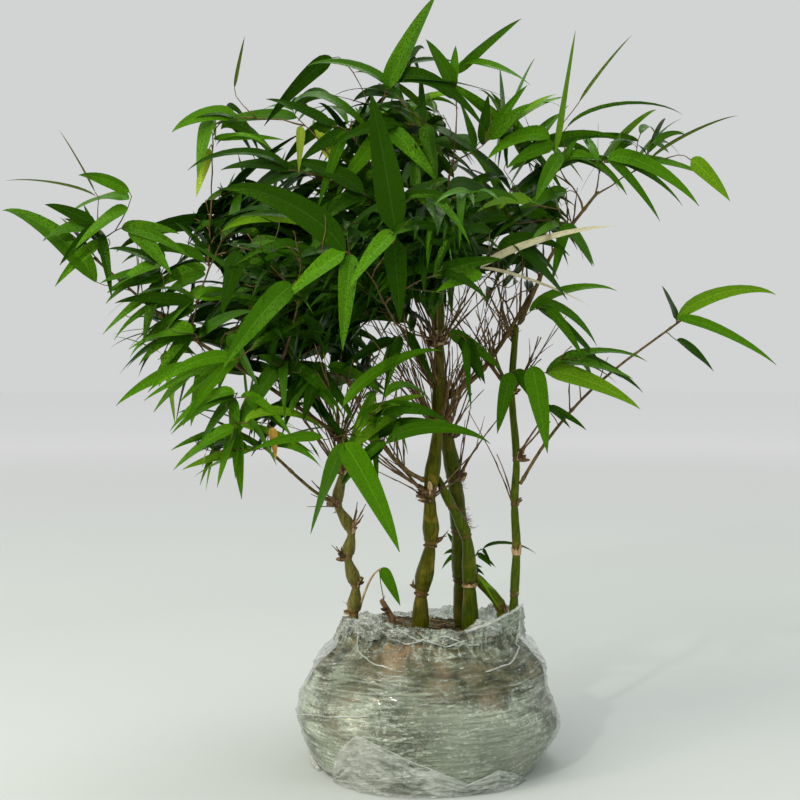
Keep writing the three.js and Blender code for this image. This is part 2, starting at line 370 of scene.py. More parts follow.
def film_look(name, thin, thick, clear, milky, painted_glint):
    """Clear stretch film in many layers: whitish threads, see-through in between, with painted glints:
    bright flecks painted into its colour.
    """
    look = Look(name, milky, 0.2, Specular_IOR_Level=0.8, Coat_Weight=1.0, Coat_Roughness=0.05)
    level = look.grain(1.0, stretch=(20, 20, 1150), detail=6.0, distortion=0.5)
    slanted = look.grain(1.0, stretch=(22, 22, 700), detail=6.0, distortion=0.8, tilt=0.22)
    falling = look.grain(1.0, stretch=(26, 26, 560), detail=6.0, distortion=0.8, tilt=-0.45)
    creases = look.grain(170.0, detail=6.0, distortion=1.8)
    layers = look.grain(24.0, stretch=(1, 1, 1.8), detail=5.0, distortion=0.8)
    threads = look.mix(0.42, look.rise(level, 0.34, 0.68), look.rise(slanted, 0.36, 0.66))
    threads = look.mix(0.28, threads, look.rise(falling, 0.4, 0.62))
    milk = look.mix(0.26, threads, look.rise(creases, 0.38, 0.62))
    milk = look.mix(0.36, milk, look.mark())
    milk = look.mix(0.3, milk, look.rise(layers, 0.38, 0.62))
    calm = look.grain(13.0, stretch=(1, 1, 1.8), detail=2.0)
    milk = look.lay(milk, calm, 0.44, 0.62, 0.75, (0.52, 0.52, 0.52))
    # painted glints: where slanted threads and creases cross, near-white flecks are painted into the colour
    # and made almost opaque, standing in for specular glints
    flecks = look.times(look.rise(slanted, 0.5, 0.7, 0.8), look.rise(creases, 0.5, 0.64))
    film = look.ramp(milk, (0.15, clear), (0.76, milky))
    look.colour(look.mix(flecks, film, painted_glint))
    marked = look.ramp(look.mark(), (0.0, 0.3), (0.42, 1.0))
    cover = look.times(look.ramp(milk, (0.12, thin), (0.7, thick)), marked)
    look.alpha(look.mix(flecks, cover, (0.9, 0.9, 0.9)))
    look.rough(look.ramp(creases, (0.3, 0.08), (0.75, 0.24)))
    look.bump(threads, 0.0016, 0.8)
    look.bump(creases, 0.0024, 1.0)
    return look.material


LEAF_COLOURS = {
    # deep to light: greens partly the leaves' own, younger ones paler, partly painted shade in the clump's
    # shaded heart and painted light on sunlit and backlit leaves at its rim; then dying and dry ones
    "deep": (0.01, 0.041, 0.001), "mid": (0.03, 0.1, 0.002), "fresh": (0.052, 0.158, 0.003),
    "light": (0.115, 0.25, 0.008), "yellow": (0.26, 0.36, 0.025), "olive": (0.05, 0.075, 0.01),
    "orange": (0.4, 0.23, 0.045), "straw": (0.52, 0.47, 0.3),
}
LEAF_TONES = {tone: leaf_look("leaf_" + tone, colour, 0.33) for tone, colour in LEAF_COLOURS.items()}
RIB_TONES = {
    tone: leaf_look("rib_" + tone, tuple(1.4 * share + 0.006 for share in colour), 0.45)
    for tone, colour in LEAF_COLOURS.items()
}
TONES = list(LEAF_TONES)

CULM_COLOURS = {
    # dark and light skin, yellowing patches, and the brown of scars and flecks
    "green": ((0.018, 0.038, 0.001), (0.075, 0.115, 0.003), (0.15, 0.14, 0.012), (0.1, 0.065, 0.02)),
    "olive": ((0.022, 0.028, 0.001), (0.09, 0.092, 0.004), (0.24, 0.165, 0.02), (0.13, 0.075, 0.02)),
    "weathered": ((0.045, 0.046, 0.007), (0.165, 0.15, 0.04), (0.28, 0.22, 0.08), (0.16, 0.1, 0.04)),
    "shaded": ((0.016, 0.026, 0.001), (0.05, 0.075, 0.003), (0.1, 0.085, 0.008), (0.07, 0.042, 0.016)),
}
CULM_TONES = {tone: culm_look("culm_" + tone, *colours) for tone, colours in CULM_COLOURS.items()}
DARK_BUD = dry_look("dark_bud", (0.022, 0.013, 0.008), (0.1, 0.055, 0.03))
BROWN_WOOD = dry_look("brown_wood", (0.06, 0.034, 0.016), (0.24, 0.15, 0.075))
TWIG_WOOD = dry_look("twig_wood", (0.055, 0.036, 0.012), (0.18, 0.12, 0.045), 0.6)
GREEN_TWIG = dry_look("green_twig", (0.035, 0.055, 0.012), (0.1, 0.11, 0.03), 0.5)
SHEATH = dry_look("papery_sheath", (0.3, 0.19, 0.085), (0.62, 0.47, 0.26), 0.7)
SOIL = soil_look()
# film: how opaque it is where clear and where milky, then its clear and milky colours and the colour of its
# painted glints
FILM = film_look("clear_film", 0.24, 0.84, (0.05, 0.07, 0.035), (0.64, 0.74, 0.55), (0.93, 0.97, 0.92))
LOOSE_FILM = film_look("loose_film", 0.09, 0.66, (0.5, 0.55, 0.44), (0.9, 0.95, 0.86), (0.97, 0.99, 0.95))


# ---- The camera, the light and the floor ----
EYE = np.array([-22, -1100, 336]) * MM  # where the camera stands
LENS = 61.875  # mm, on a sensor 36 mm wide
LOOKS_DOWN = 2.3  # degrees


def add_camera():
    """At the photograph's viewing angle: almost level with the foliage, looking down a little."""
    camera = bpy.data.objects.new("camera", bpy.data.cameras.new("camera"))
    camera.data.lens = LENS
    camera.data.sensor_width = 36
    camera.location = tuple(EYE)
    camera.rotation_euler = (math.radians(90 - LOOKS_DOWN), 0, 0)
    bpy.context.scene.collection.objects.link(camera)
    bpy.context.scene.camera = camera


def add_light(name, place, aim, size, power, colour):
    """A round soft light of a size in metres and a power in watts."""
    light = bpy.data.lights.new(name, "AREA")
    light.shape = "DISK"
    light.size = size
    light.energy = power
    light.color = colour
    lamp = bpy.data.objects.new(name, light)
    lamp.location = place
    lamp.rotation_euler = (Vector(aim) - Vector(place)).to_track_quat("-Z", "Y").to_euler()
    bpy.context.scene.collection.objects.link(lamp)


FLOOR_RADIUS = 9.0
FLOOR_SIDES = 96
FLOOR_COLOUR = (0.58, 0.62, 0.59)
FAR_FLOOR = (0.97, 0.97, 0.97)
SURROUND = (0.95, 0.96, 0.96)  # the studio round the plant, which the far floor fades into


def add_floor():
    """A wide round pale floor with nothing behind it, so that it serves from every side."""
    turns = [i / FLOOR_SIDES * math.tau for i in range(FLOOR_SIDES)]
    ring = [(FLOOR_RADIUS * math.cos(turn), FLOOR_RADIUS * math.sin(turn), 0.0) for turn in turns]
    mesh = bpy.data.meshes.new("floor")
    mesh.from_pydata(ring, [], [tuple(range(FLOOR_SIDES))])
    look = Look("pale_floor", FLOOR_COLOUR, 0.9, Specular_IOR_Level=0.1)
    away = look.node("ShaderNodeVectorMath")
    away.operation = "LENGTH"
    look.join(look.place(), away.inputs[0])
    share = look.node("ShaderNodeMath")
    share.operation = "DIVIDE"
    share.inputs[1].default_value = FLOOR_RADIUS
    look.join(away.outputs["Value"], share.inputs[0])
    look.colour(look.ramp(share.outputs["Value"], (0.08, FLOOR_COLOUR), (0.4, FAR_FLOOR)))
    mesh.materials.append(look.material)
    floor = bpy.data.objects.new("floor", mesh)
    bpy.context.scene.collection.objects.link(floor)


def add_lights():
    """Plain soft studio light from an even pale surround and five lamps."""
    world = bpy.data.worlds.new("studio")
    world.use_nodes = True
    world.node_tree.nodes["Background"].inputs["Color"].default_value = (*SURROUND, 1)
    world.node_tree.nodes["Background"].inputs["Strength"].default_value = 0.68
    bpy.context.scene.world = world
    middle = (0, 0, 0.3)
    add_light("key", (-1.2, -0.9, 1.9), middle, 1.5, 21, (1.0, 0.98, 0.93))
    add_light("spark", (-0.7, -1.3, 1.1), (0, 0, 0.05), 0.06, 6, (1.0, 0.99, 0.96))
    add_light("fill", (1.6, -1.2, 1.1), middle, 1.2, 4, (0.93, 0.97, 1.0))
    add_light("top", (0.2, 0.5, 2.0), middle, 1.0, 9, (1.0, 1.0, 1.0))
    add_light("warm", (-1.5, -1.0, 0.9), (-0.05, 0, 0.05), 0.3, 6, (1.0, 0.74, 0.45))
    bpy.context.scene.view_settings.view_transform = "Standard"


# ---- Limbs: centre lines and radii from the frame ----
class Limb:
    """A culm's or bough's centre line, radius and heading, measured from sections of its CAD node."""

    def __init__(self, name, axis, levels=44):
        mesh = frame["nodes"][name].data
        mesh.calc_loop_triangles()
        points = np.array([v.co for v in mesh.vertices], dtype=float)
        corners = np.array([t.vertices for t in mesh.loop_triangles])
        low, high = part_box(name)
        inset = 0.01 * (high[axis] - low[axis])
        self.levels = np.linspace(low[axis] + inset, high[axis] - inset, levels)
        sections = [self.section(points, corners, axis, level) for level in self.levels]
        centre = np.array([place for place, _ in sections])
        for _ in range(2):
            centre[1:-1] = (centre[:-2] + 2 * centre[1:-1] + centre[2:]) / 4
        self.line = centre
        heads = np.gradient(centre, axis=0)
        heads /= np.linalg.norm(heads, axis=1)[:, None]
        area = np.array([size for _, size in sections])
        self.radius = np.sqrt(area * np.abs(heads[:, axis]) / math.pi)
        self.length = np.concatenate([[0], np.cumsum(np.linalg.norm(np.diff(centre, axis=0), axis=1))])

    @staticmethod
    def section(points, corners, axis, level):
        """Centre and area of the cut across a closed mesh at one level of an axis."""
        height = points[:, axis] - level
        flat = np.delete(points, axis, axis=1)
        rising, falling = np.zeros((len(corners), 2)), np.zeros((len(corners), 2))
        crossed = np.zeros(len(corners), dtype=bool)
        for k in range(3):
            i, j = corners[:, k], corners[:, (k + 1) % 3]
            span = np.where(height[i] == height[j], 1.0, height[i] - height[j])
            place = flat[i] + (flat[j] - flat[i]) * (height[i] / span)[:, None]
            up = (height[i] <= 0) & (height[j] > 0)
            down = (height[i] > 0) & (height[j] <= 0)
            rising[up] = place[up]
            falling[down] = place[down]
            crossed |= up
        start, end = rising[crossed], falling[crossed]
        cross = start[:, 0] * end[:, 1] - start[:, 1] * end[:, 0]
        area = cross.sum() / 2
        centre = ((start + end) * cross[:, None]).sum(axis=0) / (6 * area)
        return np.insert(centre, axis, level), abs(area)

    def at(self, distance):
        """The point at a distance along the line, in metres from its foot."""
        return np.array([np.interp(distance, self.length, self.line[:, k]) for k in range(3)])

    def radius_at(self, distance):
        return float(np.interp(distance, self.length, self.radius))

    def heading_at(self, distance):
        step = 3 * MM
        return unit(self.at(min(distance + step, self.length[-1])) - self.at(max(distance - step, 0)))

    def along(self, level):
        """How far along the line a level of its own axis lies."""
        return float(np.interp(level, self.levels, self.length))


CULM_NODES = {
    # heights of each culm's nodes in mm
    "main_culm": (136, 176, 215, 271, 337),
    "rear_culm": (140, 182, 225, 263),
    "crossing_culm": (140, 180, 205),
    "right_culm": (133, 170, 207, 243, 297),
    "left_culm": (117, 140, 163, 184, 206, 234),
    "oblique_shoot": (121,),
    "dead_stub": (112,),
}
BOUGH_NAMES = (
    "left_low_bough", "far_left_bough", "upper_left_bough",
    "upper_right_bough", "right_shoulder_bough", "right_reach_bough",
)
CULMS = {name: Limb(name, axis=2) for name in CULM_NODES}
BOUGHS = {name: Limb(name, axis=0) for name in BOUGH_NAMES}
# each bough's line runs up from its lower end
for bough in BOUGHS.values():
    if np.dot(bough.line[-1] - bough.line[0], UP) < 0:
        bough.line = bough.line[::-1]
        bough.radius = bough.radius[::-1]


# ---- Culms and boughs with their relief ----
RING_GAP = 1.1 * MM
CULM_SIDES = 28
FOOT_SUNK = 7 * MM  # how far a culm goes on into the soil
TIP_LENGTH = 3 * MM
BOUGH_RING_GAP = 1.6 * MM
BOUGH_SIDES = 12
KNUCKLE_GAP = 34 * MM


def node_relief(distance, edge):
    """How far a culm stands out near a node: a sheath scar like a thin flange, then a fuller ridge."""
    gap = distance / MM
    flange = 0.75 * hump(gap, -0.4, 0.75) * (1 + 0.7 * edge)
    groove = -0.3 * hump(gap, 1.1, 0.7)
    ridge = 0.5 * hump(gap, 2.9, 1.5)
    pinch = -0.35 * hump(gap, -3.2, 2.2)
    return (flange + groove + ridge + pinch) * MM


GIRTH = {
    # how much thicker than in the CAD a culm is drawn, and how much its internodes swell
    "left_culm": (1.14, 0.19), "main_culm": (1.02, 0.15), "rear_culm": (1.3, 0.1),
    "crossing_culm": (1.0, 0.08), "right_culm": (1.02, 0.05), "oblique_shoot": (1.25, 0.0),
}


def belly(distance, nodes, total):
    """From -1 at the nodes to 1 where an internode swells most, a little below its middle."""
    marks = [0.0] + nodes + [total]
    for low, high in zip(marks, marks[1:]):
        if low <= distance <= high and high > low:
            return 2 * math.sin(math.pi * ((distance - low) / (high - low)) ** 0.8) ** 1.2 - 1
    return 0.0


def add_culm(name, material):
    """A culm with its swollen internodes, scar rings, ribs and lumps, in place of its CAD node."""
    limb = CULMS[name]
    total = limb.length[-1]
    nodes = [limb.along(level * MM) for level in CULM_NODES[name]]
    rings = int(total / RING_GAP)
    distances = np.linspace(0, total, rings)
    line = np.array([limb.at(d) for d in distances])
    angles = np.linspace(0, 2 * math.pi, CULM_SIDES, endpoint=False)
    key = len(name)
    girth, swell = GIRTH.get(name, (1.0, 0.0))
    radii, marks = [], []
    for d, place in zip(distances, line):
        base = limb.radius_at(d) * (girth + swell * belly(d, nodes, total))
        size = base / (5 * MM)
        nearest = min(nodes, key=lambda n: abs(n - d))
        row = []
        for angle in angles:
            way = (math.cos(angle) * 1.3, math.sin(angle) * 1.3)
            ribs = 0.05 * wobble(way[0] * 5, way[1] * 5, place[2] * 25 + key)
            lumps = 0.07 * wobble(way[0], way[1], place[2] * 90 + key)
            edge = wobble(way[0] * 3, way[1] * 3, nearest * 900 + key)
            lean = 0.8 * MM * math.cos(angle + nearest * 700)
            row.append(base * (1 + ribs + lumps) + size * node_relief(d - nearest + lean, edge))
        radii.append(row)
        gap = (d - nearest) / MM
        marks.append(min(1.0, 0.95 * hump(gap, -0.2, 1.5) + 0.35 * hump(gap, 2.5, 4)))
    foot = line[0] - limb.heading_at(0) * FOOT_SUNK
    line = np.vstack([foot, line])
    radii = np.vstack([np.array(radii[0]) * 1.12, radii])
    tip = line[-1] + limb.heading_at(total) * TIP_LENGTH
    line = np.vstack([line, tip])
    radii = np.vstack([radii, radii[-1] * 0.3])
    marks = [0.3] + marks + [0.5]
    shape = Shape()
    add_tube(shape, line, radii, CULM_SIDES, values=marks)
    shape.piece(name + "_bark", [material], "culm", [name])


def add_bough(name):
    """A bough with knuckles at even steps, in place of its CAD node."""
    limb = BOUGHS[name]
    total = limb.length[-1]
    distances = np.linspace(0, total, int(total / BOUGH_RING_GAP))
    line = np.array([limb.at(d) for d in distances])
    angles = np.linspace(0, 2 * math.pi, BOUGH_SIDES, endpoint=False)
    radii = []
    for d in distances:
        base = limb.radius_at(d)
        knuckle = 0.35 * hump((d % KNUCKLE_GAP) / MM, 6, 1.6)
        rough = [0.1 * wobble(math.cos(a) * 2, math.sin(a) * 2, d * 260) for a in angles]
        radii.append([base * (1 + knuckle + r) for r in rough])
    shape = Shape()
    add_tube(shape, line, np.array(radii), BOUGH_SIDES)
    shape.piece(name + "_bark", [TWIG_WOOD], "twig", [name])


# ---- Root ball: soil and film ----
AROUND = 420  # columns of points round the film
WALL_ROWS = 176
LIP_ROWS = 40
FILM_FOOT = 0.6 * MM  # the film's lowest row lies this far above its CAD solid's underside
FULL_TURN = 2 * math.pi
RIGHT_CULM_WAY = math.radians(9)  # the right culm stands against the collar here, seen from the axis


def wall_radii(tree, angles, levels):
    """How far out a CAD surface lies, by angle and height, with the facets between angles smoothed away."""
    reach = 0.3
    table = np.zeros((len(angles), len(levels)))
    for i, angle in enumerate(angles):
        way = Vector((math.cos(angle), math.sin(angle), 0))
        for k, z in enumerate(levels):
            hit = tree.ray_cast(way * reach + Vector((0, 0, z)), -way, reach)[0]
            table[i, k] = table[i, k - 1] if hit is None else math.hypot(hit.x, hit.y)
    for _ in range(len(angles) // 4):
        table = (np.roll(table, 1, axis=0) + 2 * table + np.roll(table, -1, axis=0)) / 4
    return table


class Wall:
    """The CAD film's side: how far out it lies at an angle and height, its shoulder a bit higher."""

    def __init__(self, angles):
        low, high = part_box("film_wrap")
        self.levels = np.linspace(low.z + FILM_FOOT, high.z - 6 * MM, WALL_ROWS)
        self.radii = wall_radii(surface_tree("film_wrap"), angles, self.levels)

    def at(self, angle, z):
        level = z - 8 * MM * hump(z / MM, 93, 13)
        column = angle / FULL_TURN * AROUND % AROUND
        first, share = int(column) % AROUND, column % 1
        near = np.interp(level, self.levels, self.radii[first])
        far = np.interp(level, self.levels, self.radii[(first + 1) % AROUND])
        return float(near * (1 - share) + far * share)


BALL_MIDDLE = (5.5 * MM, 8 * MM)  # where the neck of the film is centred


def ground(tree, x, y):
    """Height of the soil: the CAD surface, heaped up against the film along the front."""
    hit = tree.ray_cast(Vector((x * 0.97, y * 0.97, 0.3)), Vector((0, 0, -1)))[0]
    level = 0.09 if hit is None else hit.z
    x, y = x - BALL_MIDDLE[0], y - BALL_MIDDLE[1]
    away = math.hypot(x, y)
    front = max(0.0, 0.25 - y / max(away, MM)) / 1.25
    return level + 11 * MM * hump(away / MM, 58, 15) * front


def grid_faces(columns, rows, closed=True):
    """Faces of a grid of columns of points, joined round to the first column when closed."""
    faces = []
    for i in range(columns if closed else columns - 1):
        j = (i + 1) % columns
        for k in range(rows - 1):
            faces.append((i * rows + k, j * rows + k, j * rows + k + 1, i * rows + k + 1))
    return faces


BROWN_PATCHES = (
    # bits of brown root that show through the film: way in degrees, height and half-size in mm
    (-114, 96, 13), (-81, 97, 10), (-60, 62, 11), (-133, 60, 12),
    (40, 70, 12), (120, 55, 14), (172, 75, 11),
)


def brown(angle, z):
    """How much a place on the soil's side belongs to a patch of brown root, from 0 to 1."""
    share = 0.0
    for way, height, size in BROWN_PATCHES:
        turn = (angle - math.radians(way) + math.pi) % FULL_TURN - math.pi
        share = max(share, hump(math.hypot(turn * 95, z / MM - height), 0, size))
    return share


def add_soil():
    """The root ball: a lumpy side, and a top of clods that keeps near the height of the CAD soil."""
    low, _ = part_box("soil_ball")
    tree = surface_tree("soil_ball")
    around, side_rows, top_rows = 300, 64, 44
    angles = [i / around * FULL_TURN for i in range(around)]
    edge = 93 * MM
    levels = np.linspace(low.z + MM, edge, side_rows)
    radii = wall_radii(tree, angles, levels)
    points, marks = [], []
    for i, angle in enumerate(angles):
        c, s = math.cos(angle), math.sin(angle)
        for k, z in enumerate(levels):
            lump = 1.4 * wobble(c * 5, s * 5, z * 60) + 0.8 * wobble(c * 16, s * 16, z * 190)
            r = radii[i, k] + (lump - 1.4) * MM
            points.append((r * c, r * s, z))
            marks.append(brown(angle, z))
        for k in range(top_rows):
            share = k / (top_rows - 1)
            r = (radii[i, -1] - 2.5 * MM) * (1 - share) + 0.4 * MM * share
            x, y = r * c, r * s
            z = ground(tree, x, y)
            clod = 2.2 * wobble(x * 90, y * 90, 1) + 1.3 * wobble(x * 260, y * 260, 2)
            clod += 0.6 * wobble(x * 700, y * 700, 3)
            points.append((x, y, z + (clod - 0.6) * MM))
            marks.append(brown(angle, z) * max(0.0, 1 - 3 * share))
    rows = side_rows + top_rows
    faces = grid_faces(around, rows)
    faces.append(tuple(i * rows for i in reversed(range(around))))
    shape = Shape()
    shape.add(points, faces, 0, values=marks)
    shape.piece("soil", [SOIL], "soil", ["soil_ball"])


class Winding:
    """The bands that the film was wound in: each stands out a little and looks whiter."""

    def __init__(self, count, low, high):
        draw = random.Random(SEED)
        self.height = np.array([low + (high - low) * (i + draw.random()) / count for i in range(count)])
        self.slant = np.array([draw.uniform(-8, 8) * MM for _ in range(count)])
        self.phase = np.array([draw.uniform(0, FULL_TURN) for _ in range(count)])
        self.width = np.array([draw.uniform(0.45, 1.1) * MM for _ in range(count)])
        self.strength = np.array([draw.uniform(0.3, 1.0) for _ in range(count)])

    def at(self, angle, z):
        """How much of a band lies at an angle and height, from 0 to 1."""
        centre = self.height + self.slant * np.sin(angle + self.phase)
        share = self.strength * np.exp(-(((z - centre) / self.width) ** 2))
        return float(share.max())


def ridged(value, sharp=1.5):
    """Noise turned into sharp crests between 0 and 1."""
    return (1 - min(1.0, 2.2 * abs(value))) ** sharp


def film_crush(c, s, z, free):
    """Wrinkles in mm, and how white they look: tight on the wall, deep clear pleats where free."""
    drift = 0.012 * wobble(c * 1.5, s * 1.5, z * 14)
    fine = ridged(wobble(c * 2.6, s * 2.6, (z + drift) * 520))
    broad = ridged(wobble(c * 1.7 + 9, s * 1.7, (z + 2 * drift) * 150))
    cross = ridged(wobble(c * 6, s * 6 + 5, z * 50 + 3 * c))
    crest = ridged(wobble(c * 11, s * 11, z * 60 + 2), 2.5)
    level = ridged(wobble(c * 4, s * 4 + 3, z * 190), 2.5)
    wound = 0.5 * fine + 0.8 * broad + 0.7 * cross
    loose = 2.2 * crest + 1.6 * level + 2.0 * wobble(c * 24, s * 24, z * 150)
    white = (1 - free) * (0.3 + 0.4 * fine + 0.2 * broad) + free * (0.85 * max(crest, level) ** 1.6 - 0.04)
    neck = math.exp(-(((z - 0.09) / 0.018) ** 2)) * (0.9 + 0.7 * wobble(c * 2, s * 2, 4))
    return (1 - 0.7 * free) * wound + free * loose, white - 0.8 * (1 - free) * max(0.0, neck)


RIM = (
    # way in degrees, height in mm of the film's rim: high over the knot and by the right culm, low behind
    (-180, 114), (-152, 117), (-128, 122), (-108, 118), (-88, 117), (-62, 119), (-38, 123),
    (-8, 126), (22, 120), (60, 110), (95, 106), (140, 108), (180, 114),
)


def rim_height(angle):
    """Height of the film's ragged rim at an angle."""
    way = (math.degrees(angle) + 180) % 360 - 180
    c, s = math.cos(angle), math.sin(angle)
    height = np.interp(way, [w for w, _ in RIM], [h for _, h in RIM])
    ragged = 3 * wobble(c * 4, s * 4, 4) + 3 * wobble(c * 13, s * 13, 6) + 2.5 * wobble(c * 30, s * 30, 8)
    return (height + ragged) * MM


def add_film(wall, angles):
    """The wound film: level wrinkles and bands up the wall, then a crumpled lip laid in over the soil."""
    low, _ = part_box("film_wrap")
    soil = surface_tree("soil_ball")
    winding = Winding(46, low.z, 98 * MM)
    free_from, free_by = 92 * MM, 106 * MM
    points, marks = [], []
    for angle in angles:
        c, s = math.cos(angle), math.sin(angle)
        rim = rim_height(angle)
        for k in range(WALL_ROWS):
            z = low.z + FILM_FOOT + (rim - low.z) * k / (WALL_ROWS - 1)
            free = min(1.0, max(0.0, (z - free_from) / (free_by - free_from)))
            crush, white = film_crush(c, s, z, free)
            band = winding.at(angle, z) * (1 - free)
            r = wall.at(angle, z) + (crush + 0.9 * band - 2.0) * MM
            points.append((r * c, r * s, max(z, 0.4 * MM)))
            marks.append(min(1.0, max(0.0, white + 0.4 * band)))
        gap = abs((angle - RIGHT_CULM_WAY + math.pi) % FULL_TURN - math.pi)
        reach = (5 + 20 * min(1.0, gap * 1.6) * (0.5 + 0.9 * abs(wobble(c * 2.5, s * 2.5, 11)))) * MM
        outer = r
        for k in range(LIP_ROWS):
            share = (k + 1) / LIP_ROWS
            inward = outer - reach * share
            x, y = inward * c, inward * s
            rest = ground(soil, x, y) + 1.5 * MM
            settle = share * share * (3 - 2 * share)
            z = rim + (min(rest, rim) - rim) * settle
            heap = 2.4 * wobble(x * 110, y * 110, 5) + 1.6 * ridged(wobble(x * 210, y * 210, 7))
            ease = min(1.0, share * 4)
            points.append((x, y, z + heap * ease * MM))
            marks.append(min(1.0, 0.15 + 0.75 * ridged(wobble(x * 160, y * 160, 9), 2)))
    rows = WALL_ROWS + LIP_ROWS
    faces = grid_faces(AROUND, rows)
    foot = [i * rows for i in reversed(range(AROUND))]
    shape = Shape()
    shape.add(points, faces, 0, values=marks)
    shape.add([shape.points[i] for i in foot], [tuple(range(AROUND))], 0)
    shape.piece("film_wrapping", [FILM], "film", ["film_wrap"])


FLAPS = (
    # where it starts, peaks and ends in degrees, foot and top in mm, how far it stands off in mm
    (-144, -121, -64, 0, 47, 6),
    (-82, -58, -34, 0, 18, 5),
    (150, 172, 198, 0, 19, 5),
    (36, 62, 86, 0, 24, 5),
    (96, 118, 136, 40, 78, 2.5),
)
STRANDS = (
    # folds of film gathered into strands: way in degrees and height in mm of points on each, then its
    # radius in mm
    (((-113, 120), (-105, 116), (-97, 111), (-90, 114)), 0.9),
    (((-130, 121), (-118, 112), (-106, 108), (-92, 112), (-80, 107), (-66, 111)), 0.6),
    (((-66, 118), (-52, 121), (-38, 125), (-24, 128), (-8, 129)), 1.2),
    (((-148, 118), (-145, 108), (-139, 99), (-124, 94), (-110, 92)), 0.7),
    (((-97, 117), (-88, 111), (-78, 116), (-70, 110), (-56, 106)), 0.6),
    (((-12, 127), (-17, 112), (-24, 100), (-42, 93), (-60, 90)), 0.7),
    (((-168, 44), (-150, 52), (-134, 56), (-118, 60)), 0.6),
)
LUMPS = (
    # crumpled lumps of gathered film: centre and half-sizes in mm
    ((-45, -49, 119), (15, 9, 11)),
    ((-61, -24, 114), (8, 11, 8)),
    ((-22, -58, 114), (13, 7, 6)),
    ((44, -48, 118), (14, 8, 7)),
    ((12, -60, 113), (12, 6, 5)),
)


def flap_columns(wall, number, flap, columns, rows):
    """Points and whiteness of one loose flap, column by column from its foot up to its free edge."""
    start, peak, end, foot, top, stand = flap
    points, marks, edge = [], [], []
    for i in range(columns):
        way = start + (end - start) * i / (columns - 1)
        rise = (way - start) / (peak - start) if way < peak else (end - way) / (end - peak)
        angle = math.radians(way)
        c, s = math.cos(angle), math.sin(angle)
        height = foot + (top - foot) * rise**0.85 + 2.5 * rise * wobble(way * 0.12, number, 1)
        for k in range(rows):
            up = k / (rows - 1)
            z = (foot + (height - foot) * up) * MM
            away = (1 - up) ** 0.7 * rise**0.5 if foot == 0 else math.sin(math.pi * up) * rise**0.5
            crease = 2.6 * ridged(wobble(way * 0.09 + number, up * 5, number))
            crease += 1.5 * wobble(way * 0.3, up * 9, number)
            off = 0.9 + stand * away + crease * (0.25 + 0.6 * (1 - up))
            r = wall.at(angle, z) + off * MM
            points.append((r * c, r * s, max(z + 0.6 * MM * wobble(way * 0.2, up * 7, 2), 0.5 * MM)))
            marks.append(min(1.0, 0.3 + 0.3 * crease))
        edge.append(points[-1])
    return points, marks, np.array(edge)


FLAP_COLUMNS, FLAP_ROWS = 96, 40
LUMP_COLUMNS, LUMP_ROWS = 56, 30


def add_flaps(shape, wall):
    """Loose flaps of film, each with a rolled edge."""
    faces = grid_faces(FLAP_COLUMNS, FLAP_ROWS, closed=False)
    for number, flap in enumerate(FLAPS):
        points, marks, edge = flap_columns(wall, number, flap, FLAP_COLUMNS, FLAP_ROWS)
        shape.add(points, faces, 0, values=marks)
        add_tube(shape, edge, np.full(len(edge), 0.45 * MM), 6, 0, np.full(len(edge), 0.9))


def add_strands(shape, wall):
    """Film gathered into thin strands that lie on the wrap."""
    for number, (stops, radius) in enumerate(STRANDS):
        t = np.linspace(0, len(stops) - 1, 70)
        ways = np.interp(t, range(len(stops)), [way for way, _ in stops])
        heights = np.interp(t, range(len(stops)), [height for _, height in stops])
        for _ in range(6):
            heights[1:-1] = (heights[:-2] + heights[1:-1] + heights[2:]) / 3
        line = []
        for way, height in zip(ways, heights):
            angle, z = math.radians(way), (height + 1.2 * wobble(way * 0.15, number, 3)) * MM
            r = wall.at(angle, z) + (0.6 + 1.4 * wobble(way * 0.1, number, 5)) * MM
            line.append((r * math.cos(angle), r * math.sin(angle), z))
        thick = [radius * (1 + 0.5 * wobble(way * 0.5, number, 7)) * MM for way in ways]
        add_tube(shape, np.array(line), np.array(thick), 8, 0, np.full(len(line), 0.8))


def add_lumps(shape):
    """Crumpled lumps of gathered film round the rim."""
    for number, (centre, sizes) in enumerate(LUMPS):
        points, marks = [], []
        for i in range(LUMP_COLUMNS):
            for k in range(LUMP_ROWS):
                turn, tilt = i / LUMP_COLUMNS * FULL_TURN, (k + 0.5) / LUMP_ROWS * math.pi
                level = math.sin(tilt)
                way = np.array([level * math.cos(turn), level * math.sin(turn), math.cos(tilt)])
                crest = ridged(wobble(*(way * 2.2 + number * 7)), 2)
                fine = ridged(wobble(*(way * 5.5 + number * 3)), 2)
                swell = 0.62 + 0.28 * crest + 0.16 * fine + 0.25 * wobble(*(way * 1.3 + number))
                points.append(tuple((np.array(centre) + way * np.array(sizes) * swell) * MM))
                marks.append(min(1.0, 0.7 * crest + 0.45 * fine - 0.1))
        shape.add(points, grid_faces(LUMP_COLUMNS, LUMP_ROWS), 0, values=marks)


def add_loose_film(wall):
    """Everything of the film that isn't wound tight, as one piece."""
    shape = Shape()
    add_flaps(shape, wall)
    add_strands(shape, wall)
    add_lumps(shape)
    shape.piece("loose_film", [LOOSE_FILM], "film")


def add_litter():
    """Bits of dead twig and sheath lying on the soil."""
    draw = random.Random(SEED + 2)
    tree = surface_tree("soil_ball")
    shape = Shape()
    for _ in range(130):
        turn, away = draw.uniform(0, FULL_TURN), 60 * MM * math.sqrt(draw.random())
        x, y = BALL_MIDDLE[0] + away * math.cos(turn), BALL_MIDDLE[1] + away * math.sin(turn)
        root = np.array([x, y, ground(tree, x, y) + draw.uniform(0.2, 1.6) * MM])
        lean = draw.uniform(0, FULL_TURN)
        axis = unit(np.array([math.cos(lean), math.sin(lean), draw.uniform(-0.12, 0.3)]))
        length, thick = draw.uniform(5, 15) * MM, draw.uniform(0.3, 0.8) * MM
        add_dry_twig(shape, root, axis, length, thick, draw.choice((0, 1, 2)), draw)
    shape.piece("litter", [TWIG_WOOD, BROWN_WOOD, SHEATH], "dead_wood")


